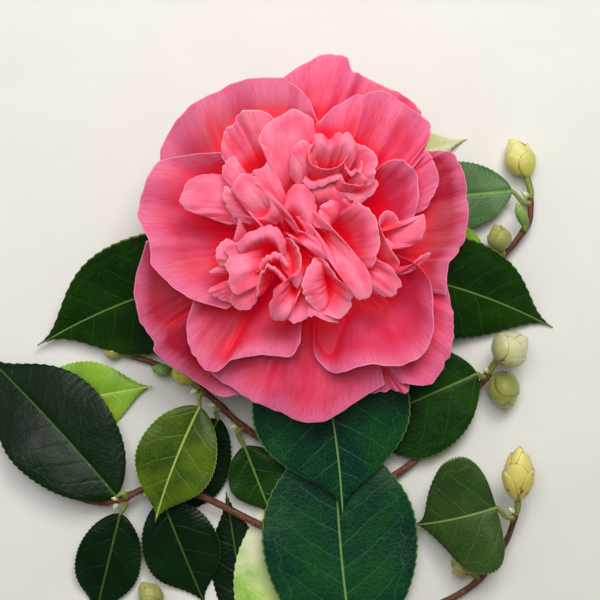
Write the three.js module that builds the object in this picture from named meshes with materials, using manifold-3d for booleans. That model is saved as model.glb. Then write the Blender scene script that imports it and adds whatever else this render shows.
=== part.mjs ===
// A cut camellia flowering sprig that lies face up on a table.
// Its woody stem carries side twigs, glossy leaves, buds and one large peony-form bloom.
// Millimetres, +Z up. The bloom faces +Z, and the stem runs from under it towards -Y.
import * as THREE from "three";
import { mergeVertices } from "three/addons/utils/BufferGeometryUtils.js";
import Module from "manifold-3d";

const wasm = await Module();
wasm.setup();

// Driving dimensions. Places below are measured from the bloom's axis at table height,
// and BLOOM_AT moves that axis so that the sprig's box is centred on the origin.
const BLOOM_AT = [12, 74.8, 0];

// What grows from a limb stands this clear of its bark, and starts short of its far end.
const SEAT_GAP = 0.3;
const SEAT_SAMPLES = 200;
const SEAT_LAST = 195;

// Joined solids lose the edges that stray less than this from a flat face.
const SMOOTHING = 0.08;

const STEM_CUT_RADIUS = 2.6;
const STEM_TOP_RADIUS = 1.9;
const TWIG_RADIUS = 1.4;
const TWIG_TIP_RADIUS = 1.0;
const PETIOLE_RADIUS = 0.9;
const PETIOLE_TAPER = 0.8;
const PETIOLE_LENGTH = 6;
const PETIOLE_SUNK = 4;
const STALK_RADIUS = 1.0;
const STALK_SUNK = 3;
const SIDES = { stem: 10, twig: 7, petiole: 6, bud: 9, calyx: 14, dome: 12 };
const STEPS = { stem: 20, petiole: 6, stalk: 3, bud: 7, dome: 8 };

// Blades are kept a millimetre thick, their edges as blunt as LEAF_POINT.
const LEAF_THICKNESS = 1.0;
const LEAF_STEPS = { across: 4, along: 7 };
const LEAF_POINT = 0.5;
const LEAF_BROADEST = 0.46;
const LEAF_TAPER = { base: 0.65, tip: 1.25 };
const BUD_TAPER = { broadest: 0.44, power: 0.75 };

// share is the number of facets across a petal for each stretch of its rim.
const GUARD = { thickness: 1.0, share: 1, along: 3 };
const PETALOID = { thickness: 0.8, share: 0.6, along: 3 };

// The receptacle bears the petals, and the core is the packed mass of their folded feet.
// Blades start a little above their roots, where they have left the receptacle's middle.
const RECEPTACLE = { centre: [0, 0, 32.8], radius: 12, height: 6 };
const CORE = { centre: [0, -1, 38.5], radius: 17, height: 12 };
const ROOT_RING = 4;
const ROOT_WIDTH = 5;
const PETAL_START = 0.15;
const LIP_START = 0.7;

const CALYX_PROFILE = [
  [0, 20.2],
  [2.6, 20.2],
  [4.5, 21],
  [9, 23.5],
  [12.5, 27],
  [13, 28.2],
  [12, 28.2],
  [8, 27],
  [0, 26.3],
];

const COLOURS = {
  petal: { color: 0xf2627f, roughness: 0.55, metalness: 0 },
  leaf: { color: 0x1f4a25, roughness: 0.35, metalness: 0 },
  leafPale: { color: 0x8fb24a, roughness: 0.4, metalness: 0 },
  bud: { color: 0xb9bd72, roughness: 0.5, metalness: 0 },
  bark: { color: 0x5c3320, roughness: 0.8, metalness: 0 },
};

// The stem from its flat cut to the bloom, then the twigs: each starts on its parent.
const STEM_PATH = [
  [13, -212, 2.8],
  [12.5, -187, 2.7],
  [13, -161, 2.7],
  [14, -138, 2.6],
  [12.5, -114, 2.6],
  [10.5, -94, 2.8],
  [8.5, -76, 3.2],
  [6.5, -56, 5.5],
  [4, -36, 9.5],
  [1.2, -17, 12.5],
  [0.2, -5, 14.2],
  [0, -1, 16.2],
  [0, 0, 19.6],
];

const TWIGS = {
  twig_left_mid: {
    on: "stem_main",
    path: [
      [2, -76, 3.6],
      [-8, -73.5, 4.6],
      [-20.5, -66, 8],
      [-32, -55, 12],
      [-36.5, -51.5, 14],
    ],
  },
  twig_left_bud: {
    on: "twig_left_mid",
    path: [
      [-35, -50, 9.5],
      [-44, -47.5, 4.6],
      [-54, -43, 3.4],
      [-62, -40.5, 3.4],
    ],
  },
  twig_left_low: {
    on: "stem_main",
    path: [
      [7, -111.5, 5.2],
      [-5, -106, 5.2],
      [-18.5, -99.5, 5.4],
      [-40, -89, 7.4],
      [-53, -87, 9],
      [-65, -91.5, 8.5],
      [-73, -93, 6],
      [-88, -88.5, 2.6],
      [-99, -76.5, 1.8],
      [-103.5, -66, 1.8],
    ],
  },
  twig_right_up: {
    on: "stem_main",
    path: [
      [8, -22, 12],
      [18, -20.5, 9.5],
      [35, -18.5, 7],
      [60.5, -11.5, 5.5],
      [74, -2.5, 6],
      [78.5, 3, 6.5],
      [81.5, 8, 6.5],
      [82, 17, 6],
    ],
  },
  twig_right_low: {
    on: "stem_main",
    path: [
      [16, -92, 3],
      [24.5, -88, 3.4],
      [36.5, -81.5, 4],
      [47.5, -71.5, 4.4],
      [57, -60, 5],
      [64, -50.5, 8],
      [66.5, -46, 10.5],
    ],
  },
  twig_right_bottom: {
    on: "stem_main",
    path: [
      [20, -140, 3],
      [42.5, -133, 3.5],
      [62, -122.5, 4.5],
      [72.5, -107, 9],
      [75.5, -95, 15],
    ],
  },
  twig_bottom_left: {
    on: "stem_main",
    path: [
      [7, -159, 2.6],
      [-4.5, -154.5, 2.6],
      [-29.5, -143.5, 3.6],
      [-49, -132.5, 5],
    ],
  },
};

// Leaves: base and tip of the blade, full width, and how the blade is held.
// roll and fold are degrees, arch lifts the midrib's middle and sweep bends it sideways.
// broadest is the place of the greatest width, from 0 at the base to 1 at the tip.
const LEAVES = {
  leaf_under_bloom: {
    on: "stem_main",
    base: [3, -27, 18],
    tip: [14.5, -96.5, 11.5],
    width: 55,
    fold: 5,
    arch: 1.5,
    sweep: -2,
  },
  leaf_foot_large: {
    on: "stem_main",
    base: [18.5, -146, 9],
    tip: [12, -56.5, 7.5],
    width: 55,
    fold: 6,
    sweep: -2,
  },
  leaf_foot_pale: {
    on: "stem_main",
    base: [-2, -161, 5],
    tip: [-13, -85, 0.6],
    width: 34,
    fold: 6,
    arch: -0.8,
    pale: true,
  },
  leaf_strip: {
    on: "twig_left_mid",
    base: [-20.5, -73, 6.5],
    tip: [-11, -98, 4],
    width: 20,
    fold: 8,
  },
  leaf_left_mid: {
    on: "twig_left_mid",
    base: [-36, -58, 15.5],
    tip: [-52, -99, 12],
    width: 28,
    roll: 3,
    fold: 10,
    arch: 1.5,
    sweep: 1,
  },
  leaf_left_mid_back: {
    on: "twig_left_mid",
    base: [-30, -63, 9],
    tip: [-47, -102, 0.6],
    width: 22,
    fold: 3,
    arch: -1,
  },
  leaf_left_low: {
    on: "twig_left_low",
    base: [-66, -90, 11],
    tip: [-115, -40, 0.6],
    width: 38,
    roll: 4,
    fold: 6,
    arch: 3.5,
    sweep: 1.5,
  },
  leaf_left_low_dark: {
    on: "twig_left_low",
    base: [-65, -97, 7.5],
    tip: [-75, -136, 0.6],
    width: 23,
    fold: 6,
    arch: 1,
  },
  leaf_left_foot: {
    on: "twig_left_low",
    base: [-50, -92, 7],
    tip: [-35, -131, 0.6],
    width: 27,
    fold: 5,
    arch: 1,
  },
  leaf_left_wide: {
    on: "stem_main",
    base: [-16, -10, 18.5],
    tip: [-95, -37, 5],
    width: 44,
    roll: -20,
    fold: 8,
    arch: 2,
    sweep: 4.5,
  },
  leaf_right_wide: {
    on: "stem_main",
    base: [19, -9, 17],
    tip: [91, -30.5, 0.6],
    width: 37,
    roll: 18,
    fold: 9,
    arch: 3,
    sweep: -3.5,
  },
  leaf_right_low: {
    on: "twig_right_low",
    base: [62, -46.5, 13],
    tip: [13, -69, 4.5],
    width: 41,
    roll: -6,
    fold: 5,
  },
  leaf_right_foot: {
    on: "twig_right_bottom",
    base: [68, -93, 18],
    tip: [40, -101.5, 4],
    width: 42,
    broadest: 0.3,
    fold: 8,
    arch: 5,
  },
  leaf_right_up: {
    on: "twig_right_up",
    base: [75, 18.5, 8.5],
    tip: [29.5, 14.5, 5],
    width: 24,
    fold: 4,
    arch: 0.5,
  },
  leaf_right_small: {
    on: "twig_right_up",
    base: [64, -5, 9.5],
    tip: [50, 7, 11.5],
    width: 9,
    fold: 6,
    pale: true,
  },
  leaf_top_right: {
    on: "stem_main",
    base: [15, 24, 17],
    tip: [60, 38, 0.6],
    width: 15,
    fold: 6,
    arch: 3.5,
    pale: true,
  },
  leaf_left_sunlit: {
    on: "twig_left_low",
    base: [-101, -60, 1.5],
    tip: [-54, -51.5, 3.5],
    width: 26,
    fold: 2,
    pale: true,
  },
  leaf_foot_dark: {
    on: "twig_bottom_left",
    base: [-19, -143, 2.2],
    tip: [-27.5, -90, 0.6],
    width: 19,
    fold: 1,
    arch: -0.5,
  },
};

// Buds: where the ovoid starts and ends, and its greatest radius. A terminal bud ends its twig.
const BUDS = {
  bud_cream: {
    on: "twig_right_low",
    base: [68, -41.5, 14],
    tip: [79, -33.5, 17],
    radius: 6.6,
    terminal: true,
  },
  bud_pear: {
    on: "twig_right_low",
    base: [70.5, -46, 9],
    tip: [73.5, -59.5, 8],
    radius: 5.8,
  },
  bud_scarred: {
    on: "twig_right_bottom",
    base: [75.5, -90.5, 17.5],
    tip: [75.5, -71, 22],
    radius: 5.4,
    terminal: true,
  },
  bud_olive: {
    on: "twig_right_up",
    base: [71.5, -3, 9.5],
    tip: [69, 6.5, 9.5],
    radius: 4.2,
  },
  bud_sepalled: {
    on: "twig_right_up",
    base: [81, 23.5, 6],
    tip: [75, 37.5, 6.2],
    radius: 5.2,
    terminal: true,
  },
  bud_leafy: {
    on: "twig_right_up",
    base: [80, 5.5, 9],
    tip: [76, 14, 11.5],
    radius: 1.9,
  },
  bud_low_right: {
    on: "twig_right_bottom",
    base: [61, -118.5, 6.5],
    tip: [54, -112.5, 6],
    radius: 4.2,
  },
  bud_low_left: {
    on: "twig_bottom_left",
    base: [-51, -131, 5],
    tip: [-58, -122, 5],
    radius: 4.2,
  },
  bud_yellow: {
    on: "twig_left_mid",
    base: [-38, -49.5, 15.5],
    tip: [-45, -41.5, 17.5],
    radius: 4.3,
    terminal: true,
  },
  bract_green: {
    on: "twig_left_bud",
    base: [-46.5, -46.5, 8],
    tip: [-54, -44.5, 7.6],
    radius: 2.3,
  },
  bud_left_olive: {
    on: "twig_left_bud",
    base: [-64.5, -39.5, 3.6],
    tip: [-72, -37.5, 3.6],
    radius: 3.3,
    terminal: true,
  },
};

// Petals of the bloom: throat pulls the blade up or down between its root and its rim.
// The rim's points run once round the free edge. full widens the blade below the rim,
// cup hollows it, lip turns the rim up, and ruffle with waves ripples it.
const GUARDS = {
  outer_left: {
    throat: [-23, -16, 34],
    rim: [
      [-17.5, -51.5, 32], [-28, -53, 31], [-39, -46.5, 30], [-49.5, -39, 31],
      [-51.5, -33, 33], [-55.5, -26.5, 31], [-57, -15.5, 31], [-52.5, -0.5, 36],
    ],
    ruffle: 0.8,
    waves: 3,
  },
  outer_foot: {
    throat: [1, -26, 33],
    rim: [
      [-22, -49.5, 36], [-17, -54, 35], [-10.5, -57.5, 34], [0.5, -62, 33],
      [10, -60.5, 33], [19, -54.5, 34], [28, -49, 35],
    ],
    cup: -2,
    ruffle: 0.8,
    waves: 3,
  },
  outer_foot_right: {
    throat: [13, -22, 33],
    rim: [[13.5, -50.5, 31.5], [23.5, -52, 31.5], [32, -51.5, 31.5], [35.5, -52, 32.5], [37, -47.5, 33]],
    full: 0.4,
  },
  outer_low_right: {
    throat: [22, -16, 32.5],
    rim: [
      [33.5, -48.5, 35], [43.5, -49, 33], [49.5, -41, 32], [51.5, -31.5, 32],
      [51, -24, 33], [49, -15.5, 35],
    ],
    ruffle: 0.8,
  },
  outer_right: {
    throat: [25, 4, 34],
    rim: [
      [48.5, -19, 36], [49.5, -8.5, 37], [54.5, -1.5, 36], [56, 12.5, 35],
      [54, 23.5, 36], [50, 29, 38], [41.5, 29.5, 39],
    ],
    cup: 2,
    ruffle: 0.7,
  },
  outer_top: {
    throat: [5, 26, 34],
    rim: [
      [-10, 51.5, 36], [-0.5, 58.5, 36], [9, 62.5, 36], [14.5, 62, 36],
      [17, 56.5, 39], [21.5, 54.5, 36], [31, 49.5, 36],
    ],
    ruffle: 0.6,
  },
  upper_left: {
    throat: [-16, 17, 40],
    rim: [
      [-48, 23, 38], [-46, 34, 38], [-36, 45.5, 38], [-21, 53, 38],
      [-6.5, 53.5, 39], [1, 48, 41.5], [5.5, 38, 45],
    ],
    ruffle: 0.8,
    waves: 4,
  },
  upper_right: {
    throat: [17, 16, 42],
    rim: [
      [4.5, 37.5, 48], [11, 43, 47], [19, 47.5, 46], [25.5, 49, 44],
      [34.5, 44.5, 42], [43, 37.5, 40], [42, 32.5, 42], [40.5, 28, 43],
    ],
    cup: -2,
    ruffle: 0.8,
    waves: 4,
  },
  right_inner: {
    throat: [20, 8, 40],
    rim: [[37, 31, 42], [43, 25.5, 43], [45, 19, 43], [43, 12, 44], [39, 7, 45]],
    cup: 2,
    ruffle: 0.6,
  },
  left_big: {
    throat: [-22, 2, 37],
    rim: [
      [-26, 28, 49], [-37, 27.5, 45], [-47.5, 25.5, 42], [-53.5, 16, 40], [-54.5, 7.5, 40],
      [-51, -1, 42], [-49.5, -9, 43], [-43.5, -15.5, 44], [-35.5, -20.5, 45], [-25, -23.5, 46],
    ],
    cup: 1.5,
    ruffle: 0.7,
    waves: 4,
  },
  low_left_inner: {
    throat: [-15, -18, 37],
    rim: [
      [-36, -20, 41], [-38.5, -29, 40], [-37.5, -36.5, 40], [-34.5, -42, 41], [-29, -44.5, 43],
      [-23, -40.5, 48], [-13.5, -38.5, 49], [-3.5, -39, 48], [-0.5, -34.5, 47],
    ],
    lip: 3,
  },
  low_right_inner: {
    throat: [20, -18, 33],
    rim: [
      [10.5, -45.5, 45], [14, -43.5, 48], [22, -41.5, 49], [34, -42, 46], [39.5, -39.5, 44],
      [42.5, -31.5, 44], [43, -20, 47], [40.5, -12.5, 50], [35.5, -8, 53],
    ],
    lip: 4,
    cup: 2,
  },
  right_cup: {
    throat: [18, 5, 40],
    rim: [
      [22.5, 21, 52], [25.5, 24, 54], [30.5, 25, 54], [36, 24, 53],
      [38, 17, 52], [37.5, 11, 51], [34, 4.5, 50], [29.5, 3, 49],
    ],
    cup: 3,
  },
};

const PETALOIDS = {
  scoop: {
    throat: [-13, 22.5, 46],
    rim: [
      [-26, 25.5, 58], [-25, 30.5, 61], [-22, 35, 62], [-20, 37.5, 62],
      [-16, 39.5, 63], [-11.5, 39, 62], [-8, 36.5, 60],
    ],
    cup: 2,
  },
  fan: {
    throat: [-4.5, 20, 54],
    rim: [
      [-14, 29, 66], [-12.5, 32.5, 66], [-8.5, 36.5, 67], [-2.5, 39, 68],
      [1, 38, 68], [3.5, 36, 66], [1.5, 29.5, 64],
    ],
    cup: -1,
  },
  fan_flap: {
    throat: [-6, 18, 56],
    rim: [[-13.5, 29.5, 65], [-11, 27, 65], [-10.5, 24, 64], [-12.5, 21.5, 63], [-16, 20, 62]],
  },
  rosette_left: {
    throat: [1.5, 19.5, 56],
    rim: [[-3.5, 21, 66], [-3, 26.5, 69], [-0.5, 29, 70], [3, 27.5, 69]],
  },
  rosette_heart: {
    throat: [11, 22.5, 60],
    rim: [
      [3, 27.5, 69], [3.5, 30.5, 72], [6, 31.5, 73], [8.5, 29.5, 71],
      [11, 31.5, 73], [13.5, 31.5, 74], [16.5, 29, 73], [17.5, 26.5, 70],
    ],
  },
  rosette_right: {
    throat: [16, 21, 58],
    rim: [[17, 28.5, 68], [20.5, 26.5, 69], [23, 23.5, 69], [23, 19, 68], [21, 15.5, 66], [18, 14.5, 64]],
  },
  rosette_swirl: {
    throat: [7.5, 24, 60],
    rim: [[0.5, 23.5, 69], [1.5, 20, 69], [5, 18.5, 69], [10.5, 18.5, 69], [13, 20, 69], [14.5, 22, 68]],
  },
  rosette_lip: {
    throat: [7, 20, 58],
    rim: [[-0.5, 17, 64], [2.5, 14.5, 64], [5.5, 15, 65], [9.5, 16.5, 66], [13, 18, 66]],
  },
  rosette_bulb: {
    throat: [15.5, 18, 58],
    rim: [[12.5, 18, 66], [16, 19.5, 67], [20.5, 17, 67], [20, 15, 65], [16, 15.5, 64]],
  },
  rosette_point: {
    throat: [17.5, 16.5, 54],
    rim: [[13.5, 15, 61], [16, 11, 62], [18, 10.5, 62], [20.5, 12, 61], [24, 15.5, 60]],
  },
  left_spoon: {
    throat: [-21.5, 12, 47],
    rim: [
      [-26, 20, 54], [-31, 20, 56], [-36.5, 18, 56], [-39.5, 12.5, 55],
      [-38, 9, 54], [-31, 6.5, 54], [-23.5, 4, 53],
    ],
    cup: -1,
  },
  left_small: {
    throat: [-19, 16, 50],
    rim: [[-24, 16, 60], [-25.5, 20.5, 61], [-24, 23.5, 62], [-21.5, 25, 62], [-18.5, 21, 60]],
  },
  boat: {
    throat: [-13, 10, 52],
    rim: [
      [-14, 4, 61], [-19, 9, 64], [-23.5, 14.5, 65], [-21.5, 18, 66],
      [-17.5, 19.5, 66], [-11.5, 15.5, 67], [-6.5, 10, 66], [-6, 6, 62],
    ],
    cup: 2,
  },
  boat_flap: {
    throat: [-17, 9, 50],
    rim: [[-24.5, 15.5, 59], [-24, 11, 58], [-22, 7, 56], [-18, 5.5, 56]],
  },
  centre: {
    throat: [-3.5, 5, 52],
    rim: [[-6, 9.5, 64], [-4, 14, 66], [-1.5, 17, 67], [1, 13, 66], [3, 8, 64], [0.5, 2, 61]],
  },
  centre_ruffled: {
    throat: [14, 4, 48],
    rim: [[14, 12.5, 60], [9, 12.5, 61], [6.5, 9.5, 62], [4.5, 5.5, 61], [5.5, 2, 59]],
    ruffle: 0.5,
  },
  arch: {
    throat: [-13, -6, 54],
    rim: [[-21, -2, 60], [-17.5, 0.5, 62], [-12.5, 3, 64], [-8, 2.5, 64], [-5.5, -1.5, 63], [-5, -5, 61]],
    lip: -2,
  },
  low_ruffled: {
    throat: [-15, -8.5, 48],
    rim: [
      [-20, -2, 58], [-24, -3, 59], [-23.5, -6.5, 58], [-24.5, -9, 59],
      [-23.5, -13, 59], [-23, -16.5, 58], [-20.5, -19, 57], [-16.5, -15.5, 56],
    ],
    ruffle: 0.5,
    waves: 4,
  },
  low_left: {
    throat: [-21, -6, 44],
    rim: [[-24.5, -0.5, 55], [-27, -3, 56], [-28, -6.5, 56], [-26.5, -9.5, 54]],
  },
  low_spike: {
    throat: [-22, -11, 44],
    rim: [[-26, -9, 52], [-30, -11.5, 53], [-28, -12.5, 51]],
  },
  low_tips: {
    throat: [-19.5, -15, 42],
    rim: [[-25.5, -14.5, 51], [-30.5, -17.5, 51], [-27.5, -20, 50], [-23, -21.5, 49]],
  },
  low_foot: {
    throat: [-18, -15, 44],
    rim: [[-23.5, -21, 50], [-21, -23.5, 51], [-17.5, -23.5, 52], [-14.5, -21, 53], [-15.5, -17, 55]],
  },
  low_tent: {
    throat: [-10, -16.5, 48],
    rim: [[-15, -19, 57], [-13.5, -14, 60], [-11.5, -9, 63], [-8, -10.5, 62], [-5, -14, 60]],
  },
  low_behind: {
    throat: [-9, -12, 48],
    rim: [[-14, -10, 59], [-11, -6, 62], [-7.5, -5.5, 62], [-4, -9, 60]],
  },
  low_spoon: {
    throat: [-4.5, -16.5, 57],
    rim: [
      [-1.5, -16, 60], [-5, -14, 62], [-8.5, -17, 60], [-10.5, -22.5, 57],
      [-9, -27, 54], [-6, -26.5, 56], [-2.5, -21.5, 58],
    ],
    cup: -1.5,
  },
  low_point: {
    throat: [-18, -1.5, 46],
    rim: [[-22, -1, 56], [-21, 2.5, 58], [-20, 5, 59], [-18.5, 2, 57]],
  },
  foot_left_wall: {
    throat: [7, -16, 46],
    rim: [[4.5, -7, 61], [1, -11.5, 62], [0, -17, 61], [2, -21, 59], [5, -24.5, 57]],
  },
  foot_right_wall: {
    throat: [8, -15, 46],
    rim: [
      [5.5, -7, 62], [8, -12, 63], [13, -15.5, 63], [16, -18.5, 62],
      [15.5, -22.5, 60], [12, -26.5, 57], [7.5, -25, 56],
    ],
    cup: 1,
  },
  foot_rim: {
    throat: [2, -19, 43],
    rim: [[-6, -26, 53], [-3, -28, 54], [0.5, -27, 55], [3, -25.5, 57], [6.5, -27, 56], [12, -28, 54]],
    ruffle: 0.4,
  },
  blade_short: {
    throat: [0, 0.5, 57],
    rim: [[1, -3.5, 61], [5.5, -7, 62], [8, -6, 63], [8, -3.5, 63], [3, 0, 62]],
  },
  blade_long: {
    throat: [6.5, -1, 58],
    rim: [
      [2.5, 1.5, 62], [8.5, -4.5, 64], [12.5, -12, 64], [15.5, -17.5, 62], [19, -21, 60],
      [22, -18, 61], [21, -12, 64], [15.5, -5.5, 66], [8, 2, 65],
    ],
    cup: -1,
  },
  right_wing: {
    throat: [16, -0.5, 46],
    rim: [
      [14.5, 10.5, 60], [17.5, 10.5, 62], [21, 9, 62], [24, 4, 61],
      [24.5, -1.5, 60], [24, -6.5, 59], [23, -10, 57],
    ],
    cup: 1,
  },
  right_loop: {
    throat: [26.5, -0.5, 44],
    rim: [
      [30.5, -12.5, 49], [31.5, -8.5, 51], [28.5, -3.5, 53], [26, 2, 54],
      [25, 6.5, 55], [27.5, 8.5, 55], [30.5, 6.5, 54], [32, 3.5, 52],
    ],
  },
  right_boat: {
    throat: [31, 0.5, 45],
    rim: [
      [28, 2.5, 52], [32, 3.5, 53], [36, 5, 54], [39, 7.5, 53], [40, 2.5, 52],
      [38.5, -1, 51], [35, -3, 50], [31, -3.5, 50], [27.5, -0.5, 51],
    ],
    cup: 1,
  },
  right_shell: {
    throat: [21, -10, 45],
    rim: [
      [23.5, -9, 55], [27.5, -9, 56], [31.5, -14.5, 54], [31.5, -17, 53],
      [29, -19.5, 52], [25.5, -19, 51], [23, -18, 50],
    ],
  },
  right_flick: {
    throat: [33.5, -12.5, 44],
    rim: [[36.5, -8, 50], [39, -6, 51], [42, -5, 50], [39.5, -8.5, 49]],
  },
  sliver: {
    throat: [-16.5, 2.5, 46],
    rim: [[-23, 6, 55], [-19.5, 7, 57], [-16, 6, 57], [-13.5, 4, 56]],
  },
  edge: {
    throat: [3.5, -8, 48],
    rim: [[-4.5, 0.5, 58], [-1.5, -2.5, 60], [-0.5, -6.5, 60], [0, -13, 58]],
  },
};

const vector = (point) => new THREE.Vector3(...point);
const degrees = THREE.MathUtils.degToRad;
const smoothstep = THREE.MathUtils.smoothstep;

// Rises from 0 at v = 0 to 1 at the broadest place and falls back to 0 at v = 1.
function hump(v, broadest) {
  return Math.sin(Math.PI * v ** (Math.log(0.5) / Math.log(broadest)));
}

// Keeps only positions, with shared vertices merged, so that the surface is closed.
function closed(geometry) {
  geometry.deleteAttribute("normal");
  geometry.deleteAttribute("uv");
  return mergeVertices(geometry, 1e-4);
}

function solid(geometry) {
  const merged = closed(geometry);
  return new wasm.Manifold(
    new wasm.Mesh({
      numProp: 3,
      vertProperties: merged.attributes.position.array,
      triVerts: new Uint32Array(merged.index.array),
    }),
  );
}

// One body: the largest piece of a join. A sealed pocket is thereby filled.
function largest(joined) {
  return joined.decompose().reduce((a, b) => (b.volume() > a.volume() ? b : a));
}

function join(solids) {
  return largest(wasm.Manifold.union(solids).simplify(SMOOTHING));
}

function geometryOf(manifold) {
  const { vertProperties, triVerts } = manifold.getMesh();
  const geometry = new THREE.BufferGeometry();
  geometry.setAttribute("position", new THREE.BufferAttribute(vertProperties, 3));
  geometry.setIndex(new THREE.BufferAttribute(triVerts, 1));
  geometry.computeVertexNormals();
  return geometry;
}

// A tapering limb: a capped cylinder bent along a curve.
function limb(points, startRadius, endRadius, sides, steps) {
  const curve = new THREE.CatmullRomCurve3(points.map(vector), false, "centripetal");
  const radiusAt = (along) => THREE.MathUtils.lerp(startRadius, endRadius, along);
  const frames = curve.computeFrenetFrames(steps);
  const geometry = new THREE.CylinderGeometry(1, 1, 1, sides, steps);
  const position = geometry.attributes.position;
  for (let i = 0; i < position.count; i++) {
    const along = position.getY(i) + 0.5;
    const ring = Math.round(along * steps);
    const radius = radiusAt(along);
    const place = curve.getPointAt(along);
    place.addScaledVector(frames.binormals[ring], position.getX(i) * radius);
    place.addScaledVector(frames.normals[ring], position.getZ(i) * radius);
    position.setXYZ(i, place.x, place.y, place.z);
  }
  return { curve, radiusAt, geometry };
}

// The spot on a limb's surface nearest to a place, SEAT_GAP clear, and the way out of it.
function seat(parent, near, towards) {
  let along = 0;
  let shortest = Infinity;
  for (let i = 0; i < SEAT_LAST; i++) {
    const distance = parent.curve.getPointAt(i / SEAT_SAMPLES).distanceTo(near);
    if (distance < shortest) {
      shortest = distance;
      along = i / SEAT_SAMPLES;
    }
  }
  const axis = parent.curve.getPointAt(along);
  const tangent = parent.curve.getTangentAt(along);
  const out = towards.clone().sub(axis).projectOnPlane(tangent).normalize();
  const spot = axis.addScaledVector(out, parent.radiusAt(along) + SEAT_GAP);
  return { spot, out };
}

// The same for a bud that ends a limb: the middle of the limb's far end.
function endSeat(parent) {
  const out = parent.curve.getTangentAt(1);
  const spot = parent.curve.getPointAt(1).addScaledVector(out, SEAT_GAP);
  return { spot, out };
}

// A thin closed sheet: a box whose faces follow surface(u, v), thickness apart.
function sheet(surface, thickness, across, along) {
  const step = 1e-3;
  const geometry = new THREE.BoxGeometry(1, 1, 1, across, along, 1);
  const position = geometry.attributes.position;
  const clampUnit = (value) => THREE.MathUtils.clamp(value, 0, 1);
  for (let i = 0; i < position.count; i++) {
    const u = position.getX(i) + 0.5;
    const v = position.getY(i) + 0.5;
    const side = position.getZ(i);
    const du = surface(clampUnit(u + step), v).sub(surface(clampUnit(u - step), v));
    const dv = surface(u, clampUnit(v + step)).sub(surface(u, clampUnit(v - step)));
    const normal = du.cross(dv).normalize();
    const place = surface(u, v).addScaledVector(normal, side * thickness);
    position.setXYZ(i, place.x, place.y, place.z);
  }
  return geometry;
}

// A leaf blade: round at its base, folded a little along its midrib and drawn out to a point.
function leafSurface(spec) {
  const { base, tip, width, broadest = LEAF_BROADEST } = spec;
  const { roll = 0, fold = 0, arch = 0, sweep = 0 } = spec;
  const start = vector(base);
  const end = vector(tip);
  const level = new THREE.Vector3(0, 0, 1);
  const heading = end.clone().sub(start).normalize();
  const sideways = heading.clone().cross(level).normalize();
  const middle = start.clone().lerp(end, 0.5);
  middle.addScaledVector(sideways, 2 * sweep);
  middle.z += 2 * arch;
  const midrib = new THREE.QuadraticBezierCurve3(start, middle, end);
  const halfWidth = (v) => {
    const power = THREE.MathUtils.lerp(LEAF_TAPER.base, LEAF_TAPER.tip, v);
    return Math.max((width / 2) * hump(v, broadest) ** power, LEAF_POINT);
  };
  return (u, v) => {
    const tangent = midrib.getTangent(v);
    const side = tangent.clone().cross(level).normalize();
    side.applyAxisAngle(tangent, degrees(roll));
    const up = side.clone().cross(tangent);
    const reach = (2 * u - 1) * halfWidth(v);
    const place = midrib.getPoint(v);
    place.addScaledVector(side, reach * Math.cos(degrees(fold)));
    place.addScaledVector(up, Math.abs(reach) * Math.sin(degrees(fold)));
    place.z = Math.max(place.z, LEAF_THICKNESS / 2);
    return place;
  };
}

function leaf(parent, spec) {
  const blade = sheet(leafSurface(spec), LEAF_THICKNESS, LEAF_STEPS.across, LEAF_STEPS.along);
  const base = vector(spec.base);
  const heading = vector(spec.tip).sub(base).normalize();
  const near = base.clone().addScaledVector(heading, -PETIOLE_LENGTH);
  const { spot, out } = seat(parent, near, base);
  const bend = spot.clone().addScaledVector(out, PETIOLE_LENGTH / 4);
  const sunk = base.clone().addScaledVector(heading, PETIOLE_SUNK);
  const path = [spot, bend, base, sunk].map((point) => point.toArray());
  const narrow = PETIOLE_RADIUS * PETIOLE_TAPER;
  const petiole = limb(path, PETIOLE_RADIUS, narrow, SIDES.petiole, STEPS.petiole);
  return join([solid(blade), solid(petiole.geometry)]);
}

// A bud: an ovoid with a drawn-out point, on a short stalk.
function bud(parent, { base, tip, radius, terminal }) {
  const start = vector(base);
  const end = vector(tip);
  const length = start.distanceTo(end);
  const profile = [new THREE.Vector2(0, 0)];
  for (let i = 1; i < STEPS.bud; i++) {
    const v = i / STEPS.bud;
    const round = hump(v, BUD_TAPER.broadest) ** BUD_TAPER.power;
    profile.push(new THREE.Vector2(radius * round, length * v));
  }
  profile.push(new THREE.Vector2(0, length));
  const body = new THREE.LatheGeometry(profile, SIDES.bud);
  const heading = end.clone().sub(start).normalize();
  const turn = new THREE.Quaternion().setFromUnitVectors(new THREE.Vector3(0, 1, 0), heading);
  body.applyQuaternion(turn);
  body.translate(start.x, start.y, start.z);
  const near = start.clone().addScaledVector(heading, -STALK_RADIUS);
  const { spot, out } = terminal ? endSeat(parent) : seat(parent, near, start);
  const bend = spot.clone().addScaledVector(out, STALK_RADIUS);
  const sunk = start.clone().addScaledVector(heading, Math.min(STALK_SUNK, length / 3));
  const path = [spot, bend, sunk].map((point) => point.toArray());
  const stalk = limb(path, STALK_RADIUS, STALK_RADIUS, SIDES.petiole, STEPS.stalk);
  return join([solid(body), solid(stalk.geometry)]);
}

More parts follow.
